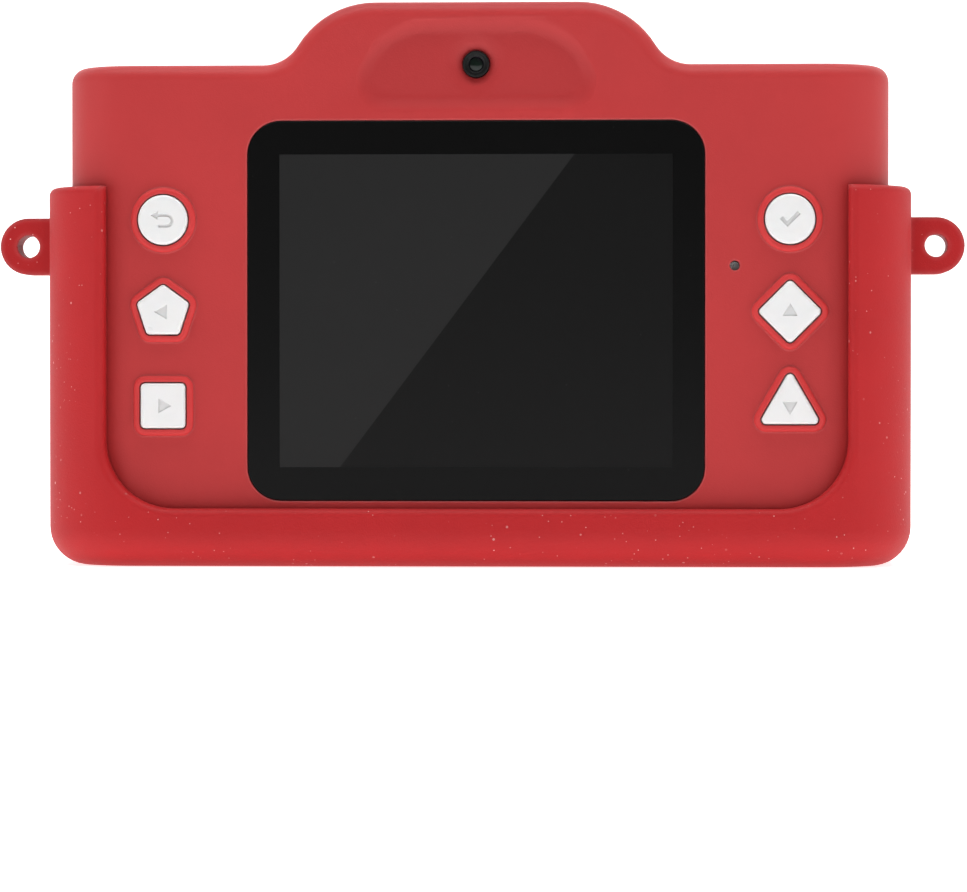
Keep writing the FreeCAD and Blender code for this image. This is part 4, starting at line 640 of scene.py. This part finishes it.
def soft_recess(piece, centre, half_low, half_top, below, above, corner, deep, face_y):
    """Turns the stepped recess round the rear lens into one soft moulded one. The casing's face is
    divided finely there, and each point is set back by how far it lies inside the outline."""
    finest, margin, slope_wide = 0.5 * MM, 1.4 * MM, 2.1 * MM
    dimple, dimple_wide, dimple_deep, bore = 3.2 * MM, 1.2 * MM, 0.14 * MM, 1.5 * MM
    work = bmesh.new()
    work.from_mesh(piece.data)
    lift, run, tall = centre.z - below, half_top - half_low, above + below
    slope = math.hypot(run, tall)

    def inside(point):
        """How far a point lies within the outline, a trapezium with rounded corners."""
        across, up = abs(point.x - centre.x), point.z - lift
        sides = ((half_low - across) * tall / slope + up * run / slope, up, tall - up)
        near = [corner - min(side, corner) for side in sides]
        return corner - math.sqrt(sum(n * n for n in near)) if max(near) > 0 else corner

    def flat(point):
        below_roll = point.z < lift + tall + 0.46 * MM
        return below_roll and point.y < face_y + deep + 0.02 * MM and inside(point) > -margin

    for _ in range(6):
        lines = dict.fromkeys(e for f in work.faces if all(flat(v.co) for v in f.verts) for e in f.edges)
        lines = [e for e in lines if e.calc_length() > finest]
        if not lines:
            break
        bmesh.ops.subdivide_edges(work, edges=lines, cuts=1)
        bmesh.ops.triangulate(work, faces=[f for f in work.faces if len(f.verts) > 3])
    for vert in work.verts:
        if flat(vert.co) and vert.co.y < face_y + deep + 0.01 * MM:
            away = math.hypot(vert.co.x - centre.x, vert.co.z - centre.z)
            if away > bore:
                sunk = deep * smooth_rise((inside(vert.co) + slope_wide / 3) / slope_wide)
                vert.co.y = face_y + sunk + dimple_deep * smooth_rise((dimple - away) / dimple_wide)
    smooth(work, 40)
    work.to_mesh(piece.data)
    work.free()


def screw(name, head, tall, shank, long, pitch, slot):
    """A cross-head screw along -Y under its head: turned head, cross slot, thread and point."""
    profile = [(0, 0), (head * 0.9, 0), (head, -tall * 0.25), (head, -tall), (shank, -tall)]
    for turn in range(int(long * 0.86 / pitch)):
        y = -tall - long * 0.06 - turn * pitch
        profile += [(shank * 0.8, y), (shank, y - pitch * 0.4), (shank, y - pitch * 0.55),
                    (shank * 0.8, y - pitch * 0.95)]
    profile += [(shank * 0.8, -tall - long * 0.93), (shank * 0.3, -tall - long), (0, -tall - long)]
    body = lathe(name, profile, (0, 0, 0), 48, 50)
    for turned in (0, math.pi / 2):
        cutter = bar(name + "_cutter", (head * 1.3, slot * 1.4, slot), 0.02 * MM, 1)
        cutter.data.transform(Matrix.Rotation(turned, 4, "Y"))
        cut = body.modifiers.new("Cross", "BOOLEAN")
        cut.object, cut.solver = cutter, "EXACT"
        mesh = evaluated(body)
        body.modifiers.clear()
        body.data = mesh
        bpy.data.objects.remove(cutter)
    return body


def cushion(name, low, high, ease, crown):
    """A soft foam block: eased edges, crowned faces, finely divided."""
    size = high - low
    work = bmesh.new()
    bmesh.ops.create_cube(work, size=1.0, matrix=Matrix.Diagonal((*size, 1.0)))
    bmesh.ops.subdivide_edges(work, edges=work.edges, cuts=14, use_grid_fill=True)
    for vert in work.verts:
        point = vert.co
        edge = [abs(point[i]) / (size[i] / 2) for i in range(3)]
        pull = max(edge[0], edge[2]) ** 6
        point.y *= 1 - crown * pull
        point.x *= 1 - ease * abs(edge[2]) ** 8
        point.z *= 1 - ease * abs(edge[0]) ** 8
    bmesh.ops.translate(work, verts=work.verts, vec=(low + high) / 2)
    smooth(work, 60)
    return loose_mesh(name, work)


# ---------- settings


def colour(label, about, value):
    return FloatVectorProperty(name=label, description=about, default=value, size=4, min=0, max=1,
                               subtype="COLOR")


def length(label, about, value):
    return FloatProperty(name=label, description=about, default=value, unit="LENGTH", precision=5)


class StageSettings(bpy.types.PropertyGroup):
    """Floor, light and camera."""

    floor: colour("Floor", "Colour of the floor and backdrop", (0.86, 0.86, 0.86, 1))
    glow: FloatProperty(name="Floor glow", description="How much light the floor gives back", default=0.93)
    key: FloatProperty(name="Key light", description="Power of each side light", default=1.4, unit="POWER")
    room: FloatProperty(name="Room light", description="Brightness all round", default=0.12)
    away: length("Distance", "Camera to the object's middle plane", 0.45)
    aside: length("Aside", "Camera to the right of the middle", 0.0209)
    up: length("Height", "Camera above the floor", 0.0196)
    lens: FloatProperty(name="Lens", description="Focal length in millimetres", default=159.9)


class CasingSettings(bpy.types.PropertyGroup):
    """The two casing halves."""

    shell: colour("Casing", "Colour of the casing", (0.45, 0.034, 0.035, 1))
    rims: colour("Rims", "Colour of the polished rims round the buttons", (0.56, 0.036, 0.037, 1))
    # painted shade: the sunk colour darkens the floor of the recess round the rear lens
    sunk: colour("Sunk", "Painted shade on the floor round the rear lens", (0.39, 0.029, 0.030, 1))
    grain: length("Grain", "Size of the moulded grain", 0.14 * MM)
    parting: length("Parting line", "Fine gap between the two halves", 0.03 * MM)
    half_low: length("Recess foot", "Half width of the recess round the rear lens, at its foot", 14.0 * MM)
    half_top: length("Recess top", "Half width of that recess at its top", 9.4 * MM)
    below: length("Recess below", "Lower edge of that recess below the lens", 4.4 * MM)
    above: length("Recess above", "Upper edge of that recess above the lens", 4.35 * MM)
    corner: length("Recess corner", "Corner radius of that recess", 4.2 * MM)


class SleeveSettings(bpy.types.PropertyGroup):
    """The soft sleeve."""

    rubber: colour("Sleeve", "Colour of the silicone", (0.44, 0.0105, 0.013, 1))
    dust: FloatProperty(name="Dust", description="Size of the dust specks, against their spacing",
                        default=0.085)


class ScreenSettings(bpy.types.PropertyGroup):
    """Cover glass and display."""

    border: colour("Border", "Printed border of the glass", (0.0022, 0.0022, 0.0022, 1))
    # painted reflection: the paler display colour and the darker one are the two sides of a painted
    # reflection
    reflection_grey: colour("Reflection side", "Display under the painted reflection", (0.0165, 0.0165, 0.0165, 1))
    dark: colour("Plain side", "Display beside the painted reflection", (0.0055, 0.0055, 0.0055, 1))
    half_wide: length("Half width", "Half the visible display", 20.1 * MM)
    half_tall: length("Half height", "Half the visible display", 16.0 * MM)
    # painted reflection: the slope of its edge across the display
    reflection_slant: FloatProperty(name="Slant", description="Rise of the painted reflection's edge per run", default=1.333)


class ButtonSettings(bpy.types.PropertyGroup):
    """Button caps."""

    cap: colour("Caps", "Colour of the button caps", (0.76, 0.76, 0.76, 1))


class LensSettings(bpy.types.PropertyGroup):
    """Both lenses."""

    glow: colour("Coating", "Coating seen straight on", (0.004, 0.009, 0.006, 1))
    rim: colour("Coating rim", "Coating seen at a slant", (0.05, 0.02, 0.05, 1))
    ribs: IntProperty(name="Grip ribs", description="Ribs round the front ring", default=96)


class InsideSettings(bpy.types.PropertyGroup):
    """Board, battery and speaker."""

    mask: colour("Solder mask", "Board coating", (0.006, 0.085, 0.028, 1))
    track: length("Track pitch", "Spacing of the board's tracks", 0.9 * MM)


SETTINGS = (("stage", StageSettings), ("casing", CasingSettings), ("sleeve", SleeveSettings),
            ("screen", ScreenSettings), ("button", ButtonSettings), ("lens", LensSettings),
            ("inside", InsideSettings))


def settings(context, name):
    return getattr(context.scene, "compact_" + name)


# ---------- operators


class COMPACT_OT_stage(bpy.types.Operator):
    """Builds the pale floor, the soft lights and the camera"""

    bl_idname = "compact.stage"
    bl_label = "Stage"

    def execute(self, context):
        asked = settings(context, "stage")
        sweep = Finish("Pale paper", IOR=1.45, Specular_IOR_Level=0.1)
        fibre = sweep.noise(2.2 * MM, 4)
        shade = sweep.mix(fibre, asked.floor, at_strength(asked.floor, 0.97))
        sweep.set(Base_Color=shade, Roughness=0.85 + fibre * 0.1, Emission_Color=shade,
                  Emission_Strength=asked.glow)
        work = bmesh.new()
        rows, flat, bent, count = [], 12, 22, 33
        for step in range(count):
            bend = min(max((step - flat) / (bent - flat), 0), 1) * math.pi / 2
            if step <= flat:
                y, z = -1.2 + step * 0.15, 0.0
            elif step <= bent:
                y, z = 0.6 + 0.5 * math.sin(bend), 0.5 - 0.5 * math.cos(bend)
            else:
                y, z = 1.1, 0.5 + (step - bent) * 0.2
            rows.append([work.verts.new((x, y, z - 0.02 * MM)) for x in (-3, -1, 0, 1, 3)])
        for first, second in zip(rows, rows[1:]):
            for i in range(4):
                work.faces.new((first[i], first[i + 1], second[i + 1], second[i]))
        bmesh.ops.recalc_face_normals(work, faces=work.faces)
        smooth(work, 80)
        floor = loose_mesh("floor", work)
        floor.data.materials.append(sweep.material)

        middle = Vector((0, 0, 0.028))
        lights = (("left", (-0.62, -0.20, 0.20), (0.4, 0.5), 0.4),
                  ("right", (0.62, -0.20, 0.20), (0.4, 0.5), 0.4),
                  ("top", (0, -0.09, 0.60), (0.9, 0.3), 3.4),
                  ("behind", (0, 0.5, 0.5), (0.8, 0.5), 0.5))
        for name, spot, size, share in lights:
            data = bpy.data.lights.new(name + "_light", "AREA")
            data.shape, data.size, data.size_y = "RECTANGLE", *size
            data.energy = asked.key * share
            lamp = new_object(name + "_light", data)
            lamp.location = spot
            lamp.rotation_euler = (middle - lamp.location).to_track_quat("-Z", "Y").to_euler()
        world = bpy.data.worlds.new("Soft room")
        world.use_nodes = True
        world.node_tree.nodes["Background"].inputs["Strength"].default_value = asked.room
        world.node_tree.nodes["Background"].inputs["Color"].default_value = (1, 1, 1, 1)
        context.scene.world = world

        data = bpy.data.cameras.new("camera")
        data.lens, data.sensor_width = asked.lens, 36
        data.clip_start, data.clip_end = 0.01, 20
        eye = new_object("camera", data)
        eye.location = (asked.aside, -asked.away, asked.up)
        aim = Vector((0.8 * MM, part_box("screen_glass")[0].y, 12.4 * MM))
        eye.rotation_euler = (aim - eye.location).to_track_quat("-Z", "Y").to_euler()
        context.scene.camera = eye
        context.scene.view_settings.view_transform = "Standard"
        return {"FINISHED"}


class COMPACT_OT_casing(bpy.types.Operator):
    """Finishes the rear and front halves of the casing"""

    bl_idname = "compact.casing"
    bl_label = "Casing halves"

    def execute(self, context):
        asked = settings(context, "casing")
        low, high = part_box("rear_lens_barrel")
        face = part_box("screen_glass")[0].y
        foot = (low.z + high.z) / 2 - asked.below - 1 * MM
        # the sunk colour in the relief is painted shade in the recess round the rear lens
        relief = (face, foot, asked.half_low + 2 * MM, asked.rims, asked.sunk)
        red = moulded("Casing red", asked.shell, asked.grain, 0.5, 0.3 * MM, 0.25, 0.24, relief)
        rear = remade("rear_shell", red, "rear_casing")
        soft_recess(rear, (low + high) / 2, asked.half_low, asked.half_top, asked.below, asked.above,
                    asked.corner, low.y - face, face)
        plain = moulded("Front red", asked.shell, asked.grain, 0.5, 0.3 * MM, 0.25, 0.24)
        front = remade("front_shell", plain, "front_casing")
        for vert in front.data.vertices:
            if 0 < vert.co.y < 0.12 * MM:
                vert.co.y = asked.parting
        return {"FINISHED"}


class COMPACT_OT_sleeve(bpy.types.Operator):
    """Finishes the soft sleeve"""

    bl_idname = "compact.sleeve"
    bl_label = "Silicone sleeve"

    def execute(self, context):
        asked = settings(context, "sleeve")
        rubber = silicone("Sleeve red", asked.rubber, asked.dust)
        remade("silicone_sleeve", rubber, "soft_sleeve")
        return {"FINISHED"}


class COMPACT_OT_screen(bpy.types.Operator):
    """Finishes the cover glass, the display and its flex"""

    bl_idname = "compact.screen"
    bl_label = "Screen"

    def execute(self, context):
        asked = settings(context, "screen")
        middle = turned_box("screen_glass")[2]
        opening = (asked.half_wide, asked.half_tall)
        # the display's two greys are a painted reflection ending on a slanting line
        glass = cover_glass("Printed cover glass", middle, opening, asked.border, asked.reflection_grey,
                            asked.dark, (-1.9 * MM, 0.0, asked.reflection_slant))
        remade("screen_glass", glass, "cover_glass")
        remade("display_panel", glass, "display_face")
        remade("display_frame", metal("Display tray", (0.55, 0.56, 0.57, 1)), "display_tray")
        tape = Finish("Double tape")
        weave = tape.noise(0.5 * MM, 3)
        tape.set(Base_Color=tape.mix(weave, paint(24, 24, 25), paint(40, 40, 42)),
                 Roughness=0.7 + weave * 0.2, Normal=tape.bump(weave, 0.02 * MM))
        dress(frame["nodes"]["screen_adhesive"], tape.material)
        flex = ribbon_film("Display film", paint(196, 120, 42), paint(214, 150, 84), 0.5 * MM)
        remade("display_flex", flex, "display_ribbon", 20)
        return {"FINISHED"}


class COMPACT_OT_buttons(bpy.types.Operator):
    """Finishes the button caps, their plungers and the switches"""

    bl_idname = "compact.buttons"
    bl_label = "Buttons and switches"

    def execute(self, context):
        asked = settings(context, "button")
        brown = moulded("Plunger", paint(92, 60, 40), 0.1 * MM, 0.4, 0.1 * MM)
        black = moulded("Switch body", paint(34, 34, 36), 0.1 * MM, 0.5, 0.1 * MM)
        for name in REAR_BUTTONS + TOP_BUTTONS:
            low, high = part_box(name + "_button")
            centre = ((low.x + high.x) / 2, low.y, (low.z + high.z) / 2)
            white = glossy_white(name + " cap white", asked.cap, centre)
            remade(name + "_button", white, name + "_cap")
            remade(name + "_button_plunger", brown, name + "_plunger")
        for node in ("rear_switch_bases", "top_switch_bases"):
            remade(node, black)
        legs = bar("leg", (0.6 * MM, 0.25 * MM, 1.1 * MM), 0.05 * MM)
        places = []
        for low, high in islands("rear_switch_bases"):
            for side in (-1, 1):
                for level in (-1, 1):
                    places.append((((low.x + high.x) / 2 + side * 2.25 * MM, high.y - 0.13 * MM,
                                    (low.z + high.z) / 2 + level * 3.3 * MM), (0, 0, 0)))
        tinned = metal("Tinned legs", (0.72, 0.72, 0.7, 1), (1, 1, 1), 0.28, 0.4 * MM)
        add(repeated("rear_switch_legs", legs, places, tinned), "rear_switch_bases", tinned)
        return {"FINISHED"}


class COMPACT_OT_rear_lens(bpy.types.Operator):
    """Builds the small lens above the screen and its module"""

    bl_idname = "compact.rear_lens"
    bl_label = "Rear lens"

    def execute(self, context):
        asked = settings(context, "lens")
        black = moulded("Lens black", (0.004, 0.004, 0.004, 1), 0.05 * MM, 0.4, 0.06 * MM, 0.1, 0.16)
        glass = coated_lens("Rear lens coating", asked.glow, asked.rim)
        low, high, centre, radius = turned_box("rear_lens_barrel")
        front, back = low.y, high.y
        low, high, _, bore = turned_box("rear_lens_glass")
        outer = [(0, back), (radius, back), (radius, front + 0.08 * MM), (radius - 0.08 * MM, front)]
        steps = [(radius * 0.86, front), (radius * 0.84, front + 0.06 * MM),
                 (radius * 0.68, front + 0.10 * MM), (radius * 0.66, front + 0.18 * MM),
                 (bore, front + 0.22 * MM), (bore, back - 0.12 * MM), (0, back - 0.12 * MM)]
        fit(lathe("rear_lens_tube", outer + steps, centre, 96), "rear_lens_barrel", black)
        wide = bore * GLASS_SHARE
        outline = dome(wide, low.y, 0.2 * MM, 12)[::-1] + [(wide, high.y), (0, high.y)]
        fit(lathe("rear_lens_element", outline, centre), "rear_lens_glass", glass)
        camera_unit("rear")
        return {"FINISHED"}


class COMPACT_OT_front_lens(bpy.types.Operator):
    """Builds the front ring with its grip ribs, the clear disc and the front lens"""

    bl_idname = "compact.front_lens"
    bl_label = "Front lens"

    def execute(self, context):
        asked = settings(context, "lens")
        gloss = moulded("Ring black", (0.005, 0.005, 0.0055, 1), 0.09 * MM, 0.24, 0.2 * MM, 0.12, 0.28)
        remade("front_lens_bezel", gloss, "front_ring")
        low, high, centre, radius = turned_box("front_lens_bezel")
        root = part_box("front_shell")[1].y
        deep = high.y - 1.2 * MM - root - 0.4 * MM
        rib = bar("rib", (0.36 * MM, deep, 0.42 * MM), 0.1 * MM)
        ring = circle((centre.x, root + 0.4 * MM + deep / 2, centre.z), radius - 0.02 * MM, asked.ribs)
        add(repeated("front_ring_ribs", rib, ring, gloss), "front_lens_bezel", gloss)
        remade("front_lens_window", clear_plate("Clear disc", (0.05, 0.055, 0.06, 1), 0.04), "front_disc")
        black = moulded("Front lens black", (0.006, 0.006, 0.006, 1), 0.08 * MM, 0.34, 0.08 * MM)
        low, high, _, radius = turned_box("front_lens_barrel")
        front, back = high.y, low.y
        low, high, _, bore = turned_box("front_lens_glass")
        profile = [(0, back), (radius, back), (radius, front - 0.2 * MM), (radius - 0.2 * MM, front),
                   (radius * 0.92, front), (radius * 0.9, front - 0.15 * MM)]
        for step in range(3):
            inner = radius * 0.9 - (radius * 0.9 - bore) * (step + 1) / 3
            level = front - 0.15 * MM - 0.12 * MM * (step + 1)
            profile += [(inner + 0.06 * MM, level), (inner, level - 0.04 * MM)]
        profile += [(bore, back + 1.2 * MM), (0, back + 1.2 * MM)]
        fit(lathe("front_lens_tube", profile, centre, 120), "front_lens_barrel", black)
        wide = bore * GLASS_SHARE
        outline = [(0, low.y), (wide, low.y)] + dome(wide, high.y, -0.75 * MM, 16)[:-1] + [(0, high.y)]
        glass = coated_lens("Front lens coating", asked.glow, asked.rim)
        fit(lathe("front_lens_element", outline, centre, 96), "front_lens_glass", glass)
        camera_unit("front")
        return {"FINISHED"}


class COMPACT_OT_ports(bpy.types.Operator):
    """Builds the charging socket, the card slot and the memory card"""

    bl_idname = "compact.ports"
    bl_label = "Ports and card"

    def execute(self, context):
        steel = metal("Socket steel", (0.62, 0.62, 0.63, 1), (1, 6, 1), 0.28)
        gold = metal("Contact gold", (0.78, 0.52, 0.18, 1), (1, 1, 1), 0.22, 0.5 * MM)
        remade("usb_socket", steel, "charging_socket")
        tongue = moulded("Tongue black", paint(22, 22, 23), 0.08 * MM, 0.45, 0.08 * MM)
        remade("usb_tongue", tongue, "charging_tongue")
        low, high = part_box("usb_tongue")
        places = []
        for face in (low.y, high.y):
            start = ((low.x + high.x) / 2 - 2.75 * MM, face, low.z + 1.5 * MM)
            places += row(start, (0.5 * MM, 0, 0), 12)
        pad = bar("pad", (0.28 * MM, 0.05 * MM, 2.2 * MM), 0.012 * MM, 1)
        add(repeated("charging_contacts", pad, places, gold), "usb_tongue", gold)
        remade("card_slot", steel, "card_holder")
        card = moulded("Card black", paint(20, 20, 22), 0.1 * MM, 0.5, 0.08 * MM)
        remade("memory_card", card, "memory_card_body")
        low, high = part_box("memory_card")
        finger = bar("finger", (0.8 * MM, 0.04 * MM, 2.9 * MM), 0.01 * MM, 1)
        start = (low.x + 1.6 * MM, high.y, high.z - 2.6 * MM)
        add(repeated("card_contacts", finger, row(start, (1.1 * MM, 0, 0), 8), gold), "memory_card", gold)
        return {"FINISHED"}


class COMPACT_OT_board(bpy.types.Operator):
    """Finishes the main board with its chips, small parts and connectors"""

    bl_idname = "compact.board"
    bl_label = "Main board"

    def execute(self, context):
        asked = settings(context, "inside")
        mask = asked.mask
        board = circuit_board("Board", mask, at_strength(mask, 1.9), asked.track)
        remade("main_board", board, "circuit_board", 20)
        epoxy = moulded("Chip epoxy", paint(28, 28, 29), 0.12 * MM, 0.55, 0.06 * MM)
        remade("board_chips", epoxy, "board_chips_body")
        tinned = metal("Tin", (0.7, 0.7, 0.68, 1), (1, 1, 1), 0.3, 0.4 * MM)
        leg = bar("leg", (0.22 * MM, 0.12 * MM, 0.7 * MM), 0.03 * MM, 1)
        places = []
        for low, high in islands("board_chips"):
            count = max(3, int((high.x - low.x) / (0.65 * MM)) - 1)
            first = (low.x + high.x) / 2 - (count - 1) * 0.325 * MM
            for level in (low.z - 0.3 * MM, high.z + 0.3 * MM):
                places += row((first, low.y + 0.08 * MM, level), (0.65 * MM, 0, 0), count)
        add(repeated("chip_legs", leg, places, tinned), "board_chips", tinned)
        cap = bar("part", (1.0 * MM, 0.45 * MM, 0.5 * MM), 0.06 * MM)
        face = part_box("main_board")[1].y
        spots = []
        for low, high in islands("board_chips"):
            for side, gap in ((low.x, -1.6 * MM), (high.x, 1.6 * MM)):
                spots += row((side + gap, face + 0.2 * MM, low.z + 1.0 * MM), (0, 0, 1.3 * MM),
                             max(2, int((high.z - low.z) / (1.6 * MM))))
        beige = moulded("Small parts", paint(150, 116, 84), 0.1 * MM, 0.45, 0.05 * MM)
        add(repeated("small_parts", cap, spots, beige, 0.7), "main_board", beige)
        ivory = moulded("Connector ivory", paint(214, 206, 186), 0.1 * MM, 0.5, 0.08 * MM)
        remade("flex_connectors", ivory)
        remade("microphone", metal("Microphone can", (0.66, 0.66, 0.66, 1), (1, 1, 1), 0.25))
        remade("microphone_boot", moulded("Boot rubber", paint(30, 30, 30), 0.15 * MM, 0.8, 0.15 * MM))
        return {"FINISHED"}


class COMPACT_OT_power_and_sound(bpy.types.Operator):
    """Builds the battery, the speaker, their leads and foam"""

    bl_idname = "compact.power_and_sound"
    bl_label = "Battery and speaker"

    def execute(self, context):
        low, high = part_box("battery")
        pouch = foil_pouch("Pouch foil", (0.72, 0.73, 0.75, 1), paint(196, 128, 30), high.x - 2.4 * MM)
        remade("battery", pouch, "battery_pouch")
        grey = foam("Grey foam", paint(70, 70, 72))
        pad = fit(cushion("battery_foam", *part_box("battery_pad"), 0.004, 0.06), "battery_pad", grey)
        remade("speaker_gasket", grey, "speaker_foam")
        remade("battery_connector", moulded("Plug ivory", paint(216, 210, 194), 0.1 * MM, 0.5, 0.08 * MM))
        levels = sorted((low.z + high.z) / 2 for low, high in islands("battery_leads"))
        wires = wire_jacket("Battery wires", (2, sum(levels) / len(levels)))
        remade("battery_leads", wires, "battery_wires", 50)
        places = sorted((low.x + high.x) / 2 for low, high in islands("speaker_leads"))
        wires = wire_jacket("Speaker wires", (0, sum(places) / len(places)))
        remade("speaker_leads", wires, "speaker_wires", 50)
        remade("speaker", metal("Speaker basket", (0.6, 0.6, 0.6, 1), (1, 1, 1), 0.3), "speaker_basket")
        low, high, centre, radius = turned_box("speaker")
        face = high.y
        profile = [(0, face - 0.10 * MM)]
        for step in range(25):
            share = 0.04 + 0.92 * step / 24
            wave = 0.10 * MM * math.cos(share * 7 * math.pi) * (0.4 + 0.6 * share)
            profile.append((radius * 0.86 * share, face - 0.12 * MM + wave))
        profile += [(radius * 0.86, face - 0.3 * MM), (0, face - 0.3 * MM)]
        cone = moulded("Cone film", paint(46, 46, 50), 0.2 * MM, 0.35, 0.05 * MM)
        add(lathe("speaker_cone", profile, centre, 96), "speaker", cone)
        return {"FINISHED"}


class COMPACT_OT_fasteners(bpy.types.Operator):
    """Builds the casing screws and the board screws"""

    bl_idname = "compact.fasteners"
    bl_label = "Screws"

    def execute(self, context):
        steel = metal("Screw steel", (0.55, 0.55, 0.56, 1), (1, 1, 1), 0.3, 0.4 * MM)
        pitch, slot, turn = 0.5 * MM, 0.42 * MM, 0.7
        kinds = (("shell_screws", "casing_screws", 1.4 * MM, 0.8 * MM),
                 ("board_screws", "small_screws", 0.9 * MM, 0.7 * MM))
        for node, name, tall, shank in kinds:
            boxes = islands(node)
            low, high = boxes[0]
            head, long = (high.x - low.x) / 2, high.y - low.y - tall
            made = screw(name + "_one", head, tall, shank, long, pitch, slot)
            places = [(((a.x + b.x) / 2, b.y, (a.z + b.z) / 2), (0, turn * n, 0))
                      for n, (a, b) in enumerate(boxes)]
            fit(repeated(name, made, places, steel), node, steel)
        return {"FINISHED"}


OPERATORS = (COMPACT_OT_stage, COMPACT_OT_casing, COMPACT_OT_sleeve, COMPACT_OT_screen, COMPACT_OT_buttons,
             COMPACT_OT_rear_lens, COMPACT_OT_front_lens, COMPACT_OT_ports, COMPACT_OT_board,
             COMPACT_OT_power_and_sound, COMPACT_OT_fasteners)


class COMPACT_PT_parts(bpy.types.Panel):
    """Lists the operators with their settings"""

    bl_label = "Compact Camera"
    bl_idname = "COMPACT_PT_parts"
    bl_space_type = "VIEW_3D"
    bl_region_type = "UI"
    bl_category = "Camera"

    def draw(self, context):
        for kind in OPERATORS:
            self.layout.operator(kind.bl_idname)
        for name, group in SETTINGS:
            box = self.layout.box()
            box.label(text=group.__doc__)
            for label in group.__annotations__:
                box.prop(settings(context, name), label)


CLASSES = [group for _, group in SETTINGS] + list(OPERATORS) + [COMPACT_PT_parts]


def register():
    for kind in CLASSES:
        bpy.utils.register_class(kind)
    for name, group in SETTINGS:
        setattr(bpy.types.Scene, "compact_" + name, PointerProperty(type=group))


def unregister():
    for name, _ in SETTINGS:
        delattr(bpy.types.Scene, "compact_" + name)
    for kind in reversed(CLASSES):
        bpy.utils.unregister_class(kind)


def main():
    """Builds everything."""
    register()
    for kind in OPERATORS:
        area, name = kind.bl_idname.split(".")
        getattr(getattr(bpy.ops, area), name)()


if __name__ == "__main__":
    main()
